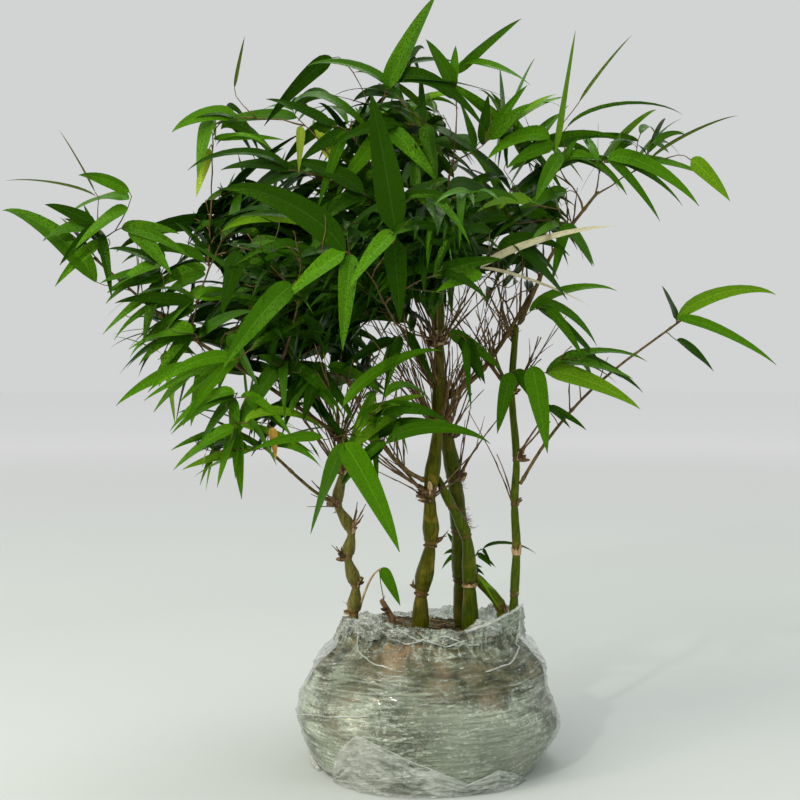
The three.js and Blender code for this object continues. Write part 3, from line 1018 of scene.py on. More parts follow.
# ---- Buds, sheaths and dry twigs on the culms ----
# A place on a culm is a height in mm and the way out in degrees, 0 to the right and -90 to the front.
KNOTS = {
    # height, way, spread in degrees, number of buds, size in mm
    "main_culm": (
        (139, 185, 14, 3, 5.5), (177, -8, 12, 2, 6.5), (216, 200, 110, 22, 8.5), (210, 240, 80, 8, 6),
        (272, 250, 150, 20, 9), (338, 250, 170, 14, 9),
    ),
    "left_culm": (
        (118, 190, 40, 4, 5), (141, -5, 40, 5, 6), (164, 185, 40, 5, 7), (186, -10, 45, 5, 6.5),
        (207, 190, 90, 14, 8), (235, 260, 130, 14, 8.5), (262, 270, 150, 12, 8),
    ),
    "rear_culm": ((224, -15, 50, 9, 8), (262, 250, 140, 8, 7)),
    "right_culm": (
        (134, -20, 60, 2, 3), (209, 0, 90, 4, 5), (245, 10, 60, 6, 8), (298, 250, 140, 8, 7),
    ),
    "crossing_culm": ((141, -60, 60, 3, 3.5),),
    "dead_stub": ((106, 200, 120, 8, 6), (122, 200, 140, 7, 5)),
}
SHEATHS = {
    # height, way, half-spread in degrees, length in mm, flare in mm, papery (0) or brown (1)
    "main_culm": (
        (134, -90, 178, 2.0, 0.5, 1), (138, 175, 32, 7, 3.0, 0), (173, -90, 170, 2.2, 0.6, 1),
        (214, 215, 90, 8, 3.2, 1), (270, 250, 120, 12, 4.5, 1), (336, 250, 120, 12, 4.5, 0),
    ),
    "left_culm": (
        (115, 170, 70, 6, 2.4, 0), (139, 0, 70, 8, 3.0, 0), (162, 170, 60, 9, 3.2, 1),
        (183, -10, 70, 8, 3.0, 0), (205, 180, 90, 9, 3.2, 1), (233, 250, 120, 11, 3.2, 1),
    ),
    "rear_culm": ((222, -20, 60, 9, 2.6, 1),),
    "right_culm": (
        (165, -90, 175, 9, 0.7, 0), (205, -20, 80, 6, 1.4, 1), (242, 10, 100, 9, 2.0, 0),
        (296, 240, 120, 9, 2.0, 0),
    ),
    "crossing_culm": ((138, -90, 120, 3.5, 0.7, 0),),
    "oblique_shoot": ((112, 0, 120, 10, 1.6, 0),),
}
BROOMS = {
    # height, way, spread in degrees, rise in degrees, number, length in mm
    "main_culm": (
        (178, -10, 12, 30, 2, 22), (216, 190, 24, 38, 9, 105), (215, 10, 25, 55, 3, 42),
        (272, 190, 50, 56, 18, 95), (272, -10, 60, 66, 8, 80), (300, 200, 60, 58, 12, 85),
        (338, 210, 70, 56, 9, 90), (338, 0, 60, 60, 8, 80),
    ),
    "left_culm": (
        (164, 175, 20, 55, 2, 15), (186, -5, 25, 52, 4, 24), (207, 180, 30, 25, 4, 26),
        (236, 200, 60, 62, 9, 80), (262, 200, 90, 60, 14, 90), (262, 0, 50, 55, 6, 70),
    ),
    "rear_culm": ((225, -10, 30, 75, 4, 70), (264, 0, 90, 62, 12, 85), (290, 0, 120, 60, 12, 90)),
    "right_culm": (
        (209, 178, 10, 82, 2, 60), (246, 5, 20, 50, 4, 60), (298, 180, 50, 55, 9, 85),
        (298, 0, 40, 60, 5, 70), (340, 180, 80, 60, 7, 70),
    ),
}
BOUGH_TWIGS = (
    # bough, number of dry twigs that rise from it, and their length in mm
    ("upper_right_bough", 15, 60), ("right_shoulder_bough", 7, 55), ("upper_left_bough", 9, 60),
    ("far_left_bough", 9, 40), ("left_low_bough", 6, 35), ("right_reach_bough", 3, 25),
)
HAIRS = {
    # height, way, number, length in mm
    "crossing_culm": ((196, -10, 26, 8), (188, 0, 16, 7)),
    "main_culm": ((214, 200, 24, 9),),
    "rear_culm": ((223, -20, 14, 9),),
    "left_culm": ((206, 200, 16, 8), (118, 200, 8, 6)),
}


def on_culm(name, level, way):
    """A point on a culm's skin, the way out there, and the culm's own heading."""
    limb = CULMS[name]
    distance = limb.along(level * MM)
    head = limb.heading_at(distance)
    angle = math.radians(way)
    out = np.array([math.cos(angle), math.sin(angle), 0])
    out = unit(out - head * np.dot(out, head))
    return limb.at(distance) + out * limb.radius_at(distance), out, head


def add_bud(shape, root, axis, length, width, kind):
    """A pointed bud or broken stub of overlapping scales."""
    t = np.linspace(0, 1, 12)
    bend = np.cross(axis, [0.3, 0.5, 0.8]) * 0.12 * length
    line = root + np.outer(t, axis) * length + np.outer(t**2, bend)
    body = (t + 0.12) ** 0.35 * (1.02 - t) ** 0.55 * 1.25
    scales = 1 + 0.16 * ((t * 3.2) % 1)
    add_tube(shape, line, width / 2 * body * scales, 8, kind)


def add_sheath(shape, name, level, way, spread, length, flare, kind, draw):
    """A torn sheath still round part of a culm: thin, with a ragged upper edge that stands away."""
    columns, rows = max(8, int(spread / 3)), 7
    turn = draw.uniform(0, 50)
    points, marks = [], []
    for i in range(columns):
        across = i / (columns - 1) * 2 - 1
        torn = 0.55 + 0.9 * abs(wobble(across * 3.4 + turn, level, 1)) + 0.35 * wobble(across * 11, turn, 2)
        for k in range(rows):
            up = k / (rows - 1)
            reach = length * up * max(0.15, torn) * (1 - 0.5 * across**4)
            skin, out, _ = on_culm(name, level + reach, way + spread * across)
            off = 0.5 + flare * up**1.6 * (0.7 + 0.6 * wobble(across * 4, turn, 3))
            points.append(skin + out * off * MM)
            marks.append(up)
    shape.add(points, grid_faces(columns, rows, closed=False), kind, values=marks)


def add_dry_twig(shape, root, axis, length, thick, kind, draw):
    """A dead twig: nearly straight, kinked at its joints and thinner to its end."""
    count = max(6, int(length / (4 * MM)))
    t = np.linspace(0, 1, count)
    bow = np.array([draw.uniform(-0.22, 0.22) for _ in range(2)] + [draw.uniform(-0.08, 0.2)])
    line = root + np.outer(t, axis) * length + np.outer(t**2, bow) * length
    for k in range(3, count, 4):
        line[k:] += np.array([draw.uniform(-0.7, 0.7) for _ in range(3)]) * MM
    radii = np.linspace(thick, thick * 0.42, count)
    radii[3::4] *= 1.5
    add_tube(shape, line, radii, 6, kind)
    return line


def add_culm_details():
    """Buds, torn sheaths, brooms of dry twigs and root hairs, all seeded, at the places listed above."""
    draw = random.Random(SEED + 1)
    buds, sheaths, dry = Shape(), Shape(), Shape()
    for name, level, way, spread, count, size in listed(KNOTS):
        for _ in range(count):
            height = level + draw.uniform(-0.35, 0.35) * size
            root, out, head = on_culm(name, height, way + draw.uniform(-1, 1) * spread)
            rise = draw.uniform(-0.1, 1.15)
            axis = unit(out * math.cos(rise) + head * math.sin(rise))
            length = size * draw.uniform(0.55, 1.15) * MM
            width, kind = length * draw.uniform(0.4, 0.75), draw.choice((0, 0, 0, 1, 2))
            add_bud(buds, root - out * 0.8 * MM, axis, length, width, kind)
    for name, level, way, spread, length, flare, kind in listed(SHEATHS):
        add_sheath(sheaths, name, level, way, spread, length, flare, kind, draw)
    for name, level, way, spread, rise, count, length in listed(BROOMS):
        for _ in range(count):
            root, out, head = on_culm(name, level + draw.uniform(-3, 3), way + draw.uniform(-1, 1) * spread)
            lift = math.radians(rise + draw.uniform(-16, 16))
            axis = unit(out * math.cos(lift) + UP * math.sin(lift))
            own = length * draw.uniform(0.45, 1.1) * MM
            kind = draw.choice((0, 0, 1))
            line = add_dry_twig(dry, root - out * MM, axis, own, draw.uniform(0.55, 0.95) * MM, kind, draw)
            if own > 50 * MM and draw.random() < 0.6:
                fork = line[len(line) // 2]
                aside = unit(axis + 0.5 * jumble(draw))
                add_dry_twig(dry, fork, aside, own * 0.45, 0.4 * MM, kind, draw)
    for name, count, length in BOUGH_TWIGS:
        limb = BOUGHS[name]
        for _ in range(count):
            root = limb.at(limb.length[-1] * draw.uniform(0.2, 0.85))
            axis = unit(UP + 0.32 * jumble(draw))
            own, thick = length * draw.uniform(0.5, 1.15) * MM, draw.uniform(0.5, 0.8) * MM
            add_dry_twig(dry, root, axis, own, thick, 0, draw)
    for name, level, way, count, length in listed(HAIRS):
        for _ in range(count):
            root, out, _ = on_culm(name, level + draw.uniform(-6, 6), way + draw.uniform(-40, 40))
            axis = unit(out + 0.9 * jumble(draw))
            own = length * draw.uniform(0.5, 1.2) * MM
            add_dry_twig(dry, root - out * 0.5 * MM, axis, own, 0.22 * MM, 1, draw)
    buds.piece("buds", [BROWN_WOOD, SHEATH, DARK_BUD], "dead_wood")
    sheaths.piece("sheath_scraps", [SHEATH, BROWN_WOOD], "dead_wood")
    dry.piece("dry_twigs", [TWIG_WOOD, BROWN_WOOD], "dead_wood")


# ---- Foliage masses ----
class Mass:
    """A CAD foliage mass, asked how deep inside it a point lies."""

    def __init__(self, name):
        self.name = name
        self.tree = surface_tree(name)
        low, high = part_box(name)
        self.low, self.high = np.array(low), np.array(high)
        self.size = self.high - self.low

    def depth(self, point):
        """Metres inside the surface, or a negative distance outside it."""
        near, normal, _, distance = self.tree.find_nearest(Vector(point))
        return distance if (Vector(point) - near).dot(normal) < 0 else -distance

    def at(self, share):
        """The point at these shares of its box."""
        return self.low + self.size * np.array(share)


FOLIAGE_PIECES = {
    "leaves_centre": ("heart_centre", "heart_left", "front_left", "front_right", "front_low"),
    "leaves_left": ("left_upper", "left_fan", "left_low", "far_left_spray", "left_shoulder"),
    "leaves_crown": ("crown_top_left", "crown_top", "crown_top_right", "right_middle", "rear_crown"),
    "leaves_right": ("right_shoulder", "right_low", "far_right_spray", "low_side_shoot", "stub_leaf"),
    "leaves_rear": ("rear_left", "rear_right", "rear_low"),
}
MASSES = {name: Mass(name) for names in FOLIAGE_PIECES.values() for name in names}
PIECE_OF = {name: piece for piece, names in FOLIAGE_PIECES.items() for name in names}
EDGE_ROOM = 5 * MM  # how far past a mass a leaf may still reach
OPENINGS = {
    # where the backdrop shows through a mass: how far across and up as shares of the mass, then half-width
    # and half-height in mm
    "crown_top": ((1.0, 0.25, 8, 20), (0.75, 0.25, 8, 10), (0.25, 0.0, 8, 8)),
    "crown_top_left": ((0.0, 0.75, 10, 12), (0.25, 0.25, 10, 8), (0.75, 0.25, 8, 8)),
    "crown_top_right": ((0.25, 0.25, 8, 15), (0.0, 0.0, 15, 8), (0.5, 0.0, 10, 15)),
    "left_shoulder": ((1.0, 0.5, 10, 15), (0.75, 0.0, 12, 8), (0.0, 0.25, 25, 15)),
    "right_middle": ((0.5, 0.25, 10, 8), (0.75, 0.0, 12, 18), (0.25, 0.0, 8, 8)),
    "right_low": ((0.0, 1.0, 15, 10), (0.0, 0.75, 12, 10)),
    "heart_centre": ((0.75, 0.0, 10, 8), (0.5, 0.25, 6, 6)),
    "heart_left": ((0.75, 0.25, 15, 8), (1.0, 0.0, 12, 8), (0.25, 0.5, 6, 6)),
    "left_upper": ((0.25, 0.75, 8, 6), (0.5, 0.25, 6, 6)),
    "left_fan": ((0.25, 1.0, 18, 8), (0.0, 0.5, 12, 8), (0.75, 0.0, 12, 8)),
}


def seen(point):
    """The x and z at which a point appears from the front, carried along the line of sight to y = 0."""
    level = EYE + (point - EYE) * (EYE[1] / (EYE[1] - point[1]))
    return level[[0, 2]]


GAP_PLACES = np.array([seen(MASSES[name].at((x, 0.5, z))) for name, x, z, _, _ in listed(OPENINGS)])
GAP_SIZES = np.array([row[3:] for row in listed(OPENINGS)]) * MM


def in_opening(point):
    """Whether a point would close one of the openings, seen from the front."""
    return bool(np.any((((seen(point) - GAP_PLACES) / GAP_SIZES) ** 2).sum(axis=1) < 1))


def room(point):
    """How deep a point lies in the deepest mass around it."""
    best = -1.0
    for mass in MASSES.values():
        if np.all(point > mass.low - EDGE_ROOM) and np.all(point < mass.high + EDGE_ROOM):
            best = max(best, mass.depth(point))
    return best


# ---- Leaves ----
LEAF_ROWS = 13
LEAF_COLUMNS = np.array([-1.0, -0.55, -0.045, 0.045, 0.55, 1.0])  # across the half-width, the rib between
HALF_TURN = np.linspace(0, math.pi, LEAF_ROWS + 1)
ROW_SHARES = 0.5 * np.linspace(0, 1, LEAF_ROWS + 1) + 0.25 * (1 - np.cos(HALF_TURN))  # closer at both ends
leaf_shapes = {piece: Shape() for piece in FOLIAGE_PIECES}
leaf_count = 0


def outline():
    """Half-width of a leaf along its length: a short stalk, a long even blade, then a fine point."""
    rise = np.sin(math.pi / 2 * np.minimum(1, (ROW_SHARES + 0.01) / 0.26)) ** 0.85
    fall = 1 - np.maximum(0, (ROW_SHARES - 0.3) / 0.7) ** 1.55
    return np.maximum(rise * fall, 0.03)


LEAF_OUTLINE = outline()
ACROSS = len(LEAF_COLUMNS)
RIB_STRIP = 2  # the strip of faces, counted from one edge, that is the midrib
LEAF_FACES = [
    (r * ACROSS + c, r * ACROSS + c + 1, (r + 1) * ACROSS + c + 1, (r + 1) * ACROSS + c)
    for r in range(LEAF_ROWS)
    for c in range(ACROSS - 1)
]


def add_leaf(piece, base, tip, width, arch, tone, face, roll=0.0, fold=0.3, wave=0.0):
    """A blade from base to tip, its upper side turned to face, its middle lifted by arch of its length."""
    global leaf_count
    leaf_count += 1
    chord = tip - base
    length = np.linalg.norm(chord)
    lift = UP * 1.35 * arch * length
    near, far = base + chord * 0.16 + lift, base + chord * 0.76 + 0.95 * lift
    t = ROW_SHARES[:, None]
    spine = (1 - t) ** 3 * base + 3 * t * (1 - t) ** 2 * near + 3 * t**2 * (1 - t) * far + t**3 * tip
    heads = (1 - t) ** 2 * (near - base) + 2 * t * (1 - t) * (far - near) + t**2 * (tip - far)
    heads /= np.maximum(np.linalg.norm(heads, axis=1), 1e-9)[:, None]
    side = np.cross(heads, face)
    side /= np.maximum(np.linalg.norm(side, axis=1), 1e-6)[:, None]
    normal = np.cross(side, heads)
    turn = roll + 0.5 * roll * (ROW_SHARES - 0.4)
    side, normal = (
        side * np.cos(turn)[:, None] + normal * np.sin(turn)[:, None],
        normal * np.cos(turn)[:, None] - side * np.sin(turn)[:, None],
    )
    half = (LEAF_OUTLINE * width / 2)[:, None, None]
    lateral = LEAF_COLUMNS[None, :, None]
    rise = np.abs(lateral) * math.sin(fold) - 0.25 * lateral**2 * math.sin(fold)
    ripple = wave * np.sin(ROW_SHARES * 9 + leaf_count)[:, None, None] * lateral
    points = (
        spine[:, None, :]
        + side[:, None, :] * lateral * half * math.cos(fold)
        + normal[:, None, :] * (rise + ripple) * half
    ).reshape(-1, 3)
    blade = TONES.index(tone)
    rib = blade + len(TONES)
    kinds = [rib if c == RIB_STRIP else blade for _ in range(LEAF_ROWS) for c in range(ACROSS - 1)]
    across = [
        (c * LEAF_OUTLINE[r] * width / 2, ROW_SHARES[r] * length)
        for r in range(LEAF_ROWS + 1)
        for c in LEAF_COLUMNS
    ]
    leaf_shapes[piece].add(list(points), LEAF_FACES, kinds, across=across)


# ---- Growth: twigs and sprays ----
rng = random.Random(SEED)
LEAF_LENGTH = (56 * MM, 98 * MM)
LEAF_BREADTH = (0.1, 0.19)  # as shares of its length
LEAVES_A_TWIG = (4, 7)
LEAFY_STEM = (22, 40)  # mm at the end of a twig that its leaves stand on
TRIES = 9  # for a leaf's heading, before the best is taken or the leaf left out
DENSITY = 150e3  # leaves wanted in a cubic metre of foliage, before each mass's own share
LEAVES_A_SPRAY = 5
MASS_FILL = 0.45  # roughly how much of its box a mass fills
LEAFINESS = {
    # each mass's own share of sprays; a mass that isn't named has 1, and one with 0 has only its fans
    "far_left_spray": 0.15, "far_right_spray": 0.0, "left_fan": 0.75, "left_low": 0.8,
    "left_shoulder": 0.2, "right_shoulder": 0.3, "right_low": 0.2, "low_side_shoot": 0.0,
    "stub_leaf": 0.0, "crown_top": 0.45, "crown_top_left": 0.5, "crown_top_right": 0.45,
    "front_low": 0.45, "right_middle": 0.65, "heart_centre": 1.6, "heart_left": 1.6,
    "front_right": 1.4, "front_left": 1.3,
}
PALETTES = {
    # tones and their weights: heart deals darker greens as painted shade inside the clump, bright paler ones
    # as painted light on sunlit and backlit leaves, edge lies between
    "heart": (("deep", 9), ("mid", 1)),
    "edge": (("deep", 3), ("mid", 5), ("fresh", 3), ("light", 1)),
    "bright": (("deep", 1), ("mid", 4), ("fresh", 4), ("light", 2)),
}
# the palette each mass's sprays take: the heart and rear masses and those in front of the heart get painted
# shade; the low outer masses, the right shoulder and the top right of the crown get painted light
PALETTE_OF = {
    "heart_centre": "heart", "heart_left": "heart", "rear_left": "heart", "rear_right": "heart",
    "rear_low": "heart", "rear_crown": "edge", "front_low": "bright", "right_low": "bright",
    "left_low": "bright", "left_fan": "edge", "front_left": "heart", "front_right": "heart",
    "left_upper": "heart", "right_shoulder": "bright", "crown_top_right": "bright",
}


FANS = {
    # fans of leaves that show at the front and rim of each mass: the hub, across and up as shares of the
    # mass; heading and spread in degrees from the front, 0 to the right and 90 up; number of leaves, their
    # length and width in mm, and tone
    "far_left_spray": (
        (0.75, 0.1, 147, 0, 1, 95, 18, "mid"), (0.75, 0.5, 190, 90, 3, 50, 14, "mid"),
        (0.75, 0.5, 250, 60, 2, 50, 11, "deep"),
        (1.0, 0.5, -20, 50, 3, 55, 15, "mid"), (0.75, 0.75, 150, 30, 2, 75, 3, "olive"),
        (1.0, 0.75, 195, 60, 3, 55, 20, "fresh"), (1.25, 0.25, 200, 90, 4, 50, 14, "mid"),
    ),
    "left_fan": (
        (0.75, 0.75, 190, 70, 5, 75, 11, "mid"), (0.75, 0.5, 200, 60, 4, 70, 11, "fresh"),
        (0.75, 0.25, 235, 60, 3, 65, 14, "fresh"), (1.0, 0.5, -60, 0, 1, 50, 18, "mid"),
        (0.5, 1.0, 185, 50, 4, 60, 12, "mid"),
    ),
    "left_low": (
        (0.5, 1.0, 205, 50, 4, 75, 11, "fresh"), (0.5, 0.75, 230, 60, 4, 75, 12, "mid"),
        (0.5, 0.5, 240, 50, 3, 70, 12, "fresh"), (0.75, 0.5, 275, 0, 1, 25, 10, "orange"),
    ),
    "left_upper": (
        (0.75, 1.0, 185, 40, 3, 80, 12, "deep"), (1.0, 0.5, 180, 0, 1, 85, 16, "light"),
        (0.25, 0.25, 195, 60, 4, 60, 12, "mid"),
    ),
    "heart_centre": ((1.0, 0.0, -60, 80, 4, 50, 11, "deep"), (0.5, 0.0, 250, 70, 4, 50, 11, "deep")),
    "heart_left": (
        (0.5, 0.25, 240, 0, 1, 85, 19, "mid"), (0.25, 0.5, 250, 0, 1, 55, 12, "mid"),
        (0.75, 0.25, 300, 60, 2, 60, 14, "mid"),
    ),
    "front_left": (
        (0.75, 0.5, 155, 0, 1, 100, 21, "deep"), (0.75, 0.5, 238, 30, 2, 78, 18, "mid"),
        (0.5, 0.25, 235, 0, 1, 80, 19, "mid"), (0.25, 0.5, 260, 0, 1, 50, 14, "deep"),
    ),
    "front_right": (
        (0.25, 0.5, 100, 0, 1, 100, 22, "deep"), (0.25, 0.5, 255, 30, 2, 70, 16, "mid"),
        (0.5, 0.25, 10, 40, 2, 50, 11, "deep"), (0.75, 0.25, 200, 0, 1, 35, 12, "fresh"),
    ),
    "front_low": (
        (0.25, 0.5, -60, 0, 1, 92, 21, "fresh"), (0.25, 0.5, 250, 0, 1, 75, 15, "mid"),
        (0.25, 0.75, 32, 0, 1, 85, 13, "fresh"), (0.5, 0.5, 3, 0, 1, 80, 11, "fresh"),
        (0.5, 0.5, 225, 30, 2, 55, 11, "mid"),
    ),
    "crown_top": (
        (0.15, 0.45, 62, 0, 1, 100, 17, "mid"), (0.75, 0.5, 110, 70, 3, 40, 15, "mid"),
        (0.25, 0.5, -5, 20, 2, 90, 14, "deep"), (0.25, 0.25, 255, 100, 4, 60, 15, "mid"),
        (0.5, 0.25, -50, 30, 2, 60, 14, "deep"),
    ),
    "crown_top_left": (
        (1.0, 0.75, 165, 0, 1, 70, 12, "mid"), (0.5, 1.0, 225, 0, 1, 75, 13, "mid"),
        (0.5, 0.5, 200, 70, 4, 60, 12, "mid"),
        (0.5, 0.25, 120, 0, 1, 35, 12, "yellow"), (0.25, 0.5, 265, 0, 1, 40, 8, "yellow"),
        (0.75, 0.0, 185, 40, 3, 75, 16, "deep"),
    ),
    "left_shoulder": (
        (0.5, 0.5, 195, 0, 1, 50, 17, "fresh"), (0.5, 0.5, 185, 0, 1, 35, 11, "deep"),
        (0.25, 0.5, 265, 0, 1, 50, 14, "fresh"),
        (0.25, 0.25, 255, 0, 1, 40, 10, "yellow"), (0.5, 0.75, 80, 0, 1, 40, 3, "olive"),
    ),
    "crown_top_right": (
        (0.0, 0.75, 20, 30, 2, 75, 11, "fresh"), (0.25, 0.25, 70, 90, 4, 55, 13, "mid"),
        (0.8, 0.15, 86, 0, 1, 95, 8, "light"), (0.75, 0.25, 205, 60, 3, 60, 17, "mid"),
        (1.0, 0.5, 55, 0, 1, 65, 3, "olive"),
    ),
    "right_middle": (
        (0.25, 0.0, 15, 0, 1, 110, 7, "straw"), (0.25, 0.0, -20, 0, 1, 90, 3, "straw"),
        (0.5, 0.25, -5, 50, 3, 60, 13, "deep"),
    ),
    "right_shoulder": (
        (0.25, 0.5, 3, 20, 2, 85, 14, "fresh"), (0.25, 0.5, -25, 30, 2, 80, 9, "mid"),
        (0.75, 0.5, -50, 0, 1, 45, 13, "light"), (0.0, 0.5, 20, 70, 4, 50, 12, "mid"),
        (0.5, 0.5, 30, 0, 1, 80, 3, "olive"), (0.0, 0.75, 5, 0, 1, 90, 4, "deep"),
        (0.0, 0.25, 215, 0, 1, 70, 20, "mid"),
        (0.0, 0.0, -75, 50, 3, 50, 13, "mid"),
    ),
    "right_low": (
        (0.15, 0.55, -82, 0, 1, 70, 18, "fresh"), (0.25, 0.5, -20, 0, 1, 80, 16, "light"),
        (0.25, 0.5, 5, 0, 1, 80, 9, "mid"), (0.25, 1.0, -15, 50, 4, 70, 12, "mid"),
        (0.0, 0.5, -70, 40, 2, 50, 14, "mid"), (0.25, 0.25, -25, 30, 2, 35, 8, "deep"),
    ),
    "far_right_spray": (
        (0.0, 0.75, 12, 0, 1, 80, 12, "light"), (0.0, 0.75, -28, 0, 1, 85, 10, "fresh"),
        (0.0, 0.5, -35, 0, 1, 40, 9, "mid"),
        (0.0, 0.75, 115, 0, 1, 32, 14, "deep"),
    ),
    "low_side_shoot": (
        (0.25, 0.75, 200, 130, 5, 20, 7, "fresh"), (0.5, 0.75, -25, 80, 6, 18, 6, "mid"),
        (0.5, 0.75, -8, 0, 1, 45, 4, "deep"),
    ),
    "stub_leaf": ((0.0, 1.0, -60, 0, 1, 34, 12, "fresh"),),
}


# the price of growing from a place, for each metre of the twig or of the way there
TURNING_PRICE = 0.25
FAR_OUT_PRICE = 0.6
FALLING_PRICE = 0.9
SHORTEST_TWIG = 8 * MM
TWIG_STEP = 7 * MM


class Skeleton:
    """All the places that a twig may leave from, with their headings and how far out each lies."""

    def __init__(self):
        self.places, self.heads, self.walked, self.owners = [], [], [], []
        self.twigs = []

    def add(self, place, head, walked, owner):
        self.places.append(place)
        self.heads.append(head)
        self.walked.append(walked)
        self.owners.append(owner)

    def nearest(self, target):
        """The cheapest place to grow from: near, not far out already, and not above the target."""
        places = np.array(self.places)
        gap = target - places
        distance = np.linalg.norm(gap, axis=1)
        against = 1 - np.einsum("ij,ij->i", gap, np.array(self.heads)) / np.maximum(distance, 1e-6)
        fall = np.maximum(0, -gap[:, 2])
        cost = distance * (1 + TURNING_PRICE * against) + FAR_OUT_PRICE * np.array(self.walked)
        cost = cost + FALLING_PRICE * fall
        cost[distance < SHORTEST_TWIG] += 1
        order = np.argsort(cost)
        for start in order[:10]:
            if room((places[start] + target) / 2) > -2 * EDGE_ROOM:
                return int(start)
        return int(order[0])

    def grow(self, target, heading):
        """A twig from the skeleton to target, arriving along heading. Its own points join the skeleton."""
        start = self.nearest(target)
        base, head, walked = self.places[start], self.heads[start], self.walked[start]
        gap = target - base
        distance = np.linalg.norm(gap)
        leave = unit(0.7 * unit(head) + 1.0 * unit(gap)) * distance * 0.8
        arrive = unit(heading) * distance * 0.7
        count = max(5, int(distance / TWIG_STEP))
        t = np.linspace(0, 1, count)[:, None]
        line = (
            (2 * t**3 - 3 * t**2 + 1) * base
            + (t**3 - 2 * t**2 + t) * leave
            + (-2 * t**3 + 3 * t**2) * target
            + (t**3 - t**2) * arrive
        )
        jitter = np.array([jumble(rng) for _ in range(count)])
        line[1:-1] += jitter[1:-1] * 0.6 * MM
        heads = np.gradient(line, axis=0)
        number = len(self.twigs)
        self.twigs.append({"line": line, "parent": self.owners[start], "load": 1})
        for k in range(2, count):
            walk = walked + distance * k / (count - 1)
            self.add(line[k], unit(heads[k]), walk, number)
        return line


skeleton = Skeleton()
LOWEST_LEAFY_NODE = 206  # mm


def seed_skeleton():
    """Twigs leave the culms from the nodes in or near the foliage, and the boughs past their foot."""
    for name in ("main_culm", "rear_culm", "right_culm", "left_culm"):
        limb = CULMS[name]
        for level in CULM_NODES[name]:
            if level >= LOWEST_LEAFY_NODE:
                d = limb.along(level * MM)
                for turn in range(5):
                    way = turned(np.array([1.0, 0, 0.9]), UP, turn * 2.4 + level)
                    skeleton.add(limb.at(d), unit(way), 0.0, -1)
        tip = limb.length[-1]
        skeleton.add(limb.at(tip), limb.heading_at(tip), 0.0, -1)
    for limb in BOUGHS.values():
        for d in np.arange(0.3, 1.0, 0.06) * limb.length[-1]:
            skeleton.add(limb.at(d), limb.heading_at(d), d * 0.2, -1)


def pick(palette):
    """A tone drawn by the weights of a palette."""
    names = [name for name, weight in palette for _ in range(weight)]
    return rng.choice(names)


GREENS = ("deep", "mid", "fresh", "light")


def near_tone(tone):
    """A tone for one leaf of a spray: mostly the spray's own, at times the next one."""
    if tone not in GREENS or rng.random() < 0.7:
        return tone
    step = GREENS.index(tone) + rng.choice((-1, 1))
    return GREENS[min(max(step, 0), len(GREENS) - 1)]


CAD_LOW, CAD_HIGH = np.array(cad_box[0]), np.array(cad_box[1])
BLADE_ROOM = 6 * MM  # kept free inside the CAD box for the breadth of a blade


def leaves_box(point):
    """Whether a blade at a point would reach out of the CAD model's box."""
    return bool(np.any(point < CAD_LOW + BLADE_ROOM) or np.any(point > CAD_HIGH - BLADE_ROOM))


fan_spans = []  # each leaf of a fan, as seen from the front: base, span, clearance and how far back it is


def hides_fan(point):
    """Whether a leaf here would stand in front of a leaf of one of the fans."""
    starts, spans, clear, depths = fan_spans
    away = seen(point) - starts
    share = np.clip(np.einsum("ij,ij->i", away, spans) / np.einsum("ij,ij->i", spans, spans), 0, 1)
    distance = np.linalg.norm(away - spans * share[:, None], axis=1)
    return bool(np.any((distance < clear) & (point[1] < depths)))


CHECKED_SHARES = (0.3, 0.55, 0.8)  # where along a leaf its place is tested


def try_leaf(base, heading, length, droop):
    """How well a leaf would stay in the foliage, clear of the openings and fans, and its tip."""
    tip = base + unit(heading) * length
    tip = tip - UP * droop * length
    tip = base + unit(tip - base) * length
    lift = UP * 0.15 * droop * length
    places = [base + (tip - base) * share + lift for share in CHECKED_SHARES] + [tip]
    if any(in_opening(place) or hides_fan(place) or leaves_box(place) for place in places):
        return -1.0, tip
    inner = min(room(place) for place in places[:3])
    return min(room(tip), inner + 2 * MM), tip


def grow_spray(mass, target, heading, tone):
    """Alternate leaves along the last stretch of a new twig, and one at its end."""
    line = skeleton.grow(target, heading)
    piece = PIECE_OF[mass.name]
    end = unit(line[-1] - line[-3])
    flat = unit(np.cross(end, turned(UP, end, rng.uniform(-0.9, 0.9))))
    stem = min(np.linalg.norm(line[-1] - line[0]), rng.uniform(*LEAFY_STEM) * MM)
    count = rng.randint(*LEAVES_A_TWIG)
    for i in range(count):
        back = stem * i / count
        base = line[-1] - end * back
        side = -1 if i % 2 else 1
        length = rng.uniform(*LEAF_LENGTH) * (0.8 if i in (0, count - 1) else 1.0)
        best = None
        for attempt in range(TRIES):
            spread = (0.15 if i == 0 else rng.uniform(0.45, 1.15)) * side
            way = turned(end, np.cross(flat, end), spread)
            way = way + jumble(rng) * (0.15 + 0.12 * attempt)
            droop = rng.uniform(0.1, 0.95)
            score, tip = try_leaf(base, way, length, droop)
            if best is None or score > best[0]:
                best = (score, tip, droop, length)
            if score > -1 * MM:
                break
            length *= 0.95
        score, tip, droop, length = best
        if score < -EDGE_ROOM:
            continue
        width = length * rng.uniform(*LEAF_BREADTH)
        outward = unit(np.array([base[0] + 0.03, 1.6 * (base[1] - 0.01), 0]))
        scatter = np.array([rng.gauss(0, 0.35) for _ in range(3)])
        face = UP * rng.uniform(0.1, 0.9) + outward * rng.uniform(0.4, 1.2) + scatter
        add_leaf(
            piece, base, tip, width, 0.03 + 0.27 * droop**1.4, near_tone(tone), face,
            roll=rng.gauss(0, 0.35), fold=rng.uniform(0.08, 0.4), wave=rng.uniform(0, 0.12),
        )


LOW_SHOOTS = (
    # places low on the culms that small shoots leave from: culm, height in mm, way out in degrees
    ("left_culm", 141, -15), ("dead_stub", 120, 150), ("rear_culm", 150, -10), ("rear_culm", 170, -20),
    ("crossing_culm", 160, 0), ("crossing_culm", 178, 170), ("main_culm", 177, -8), ("right_culm", 209, 10),
)


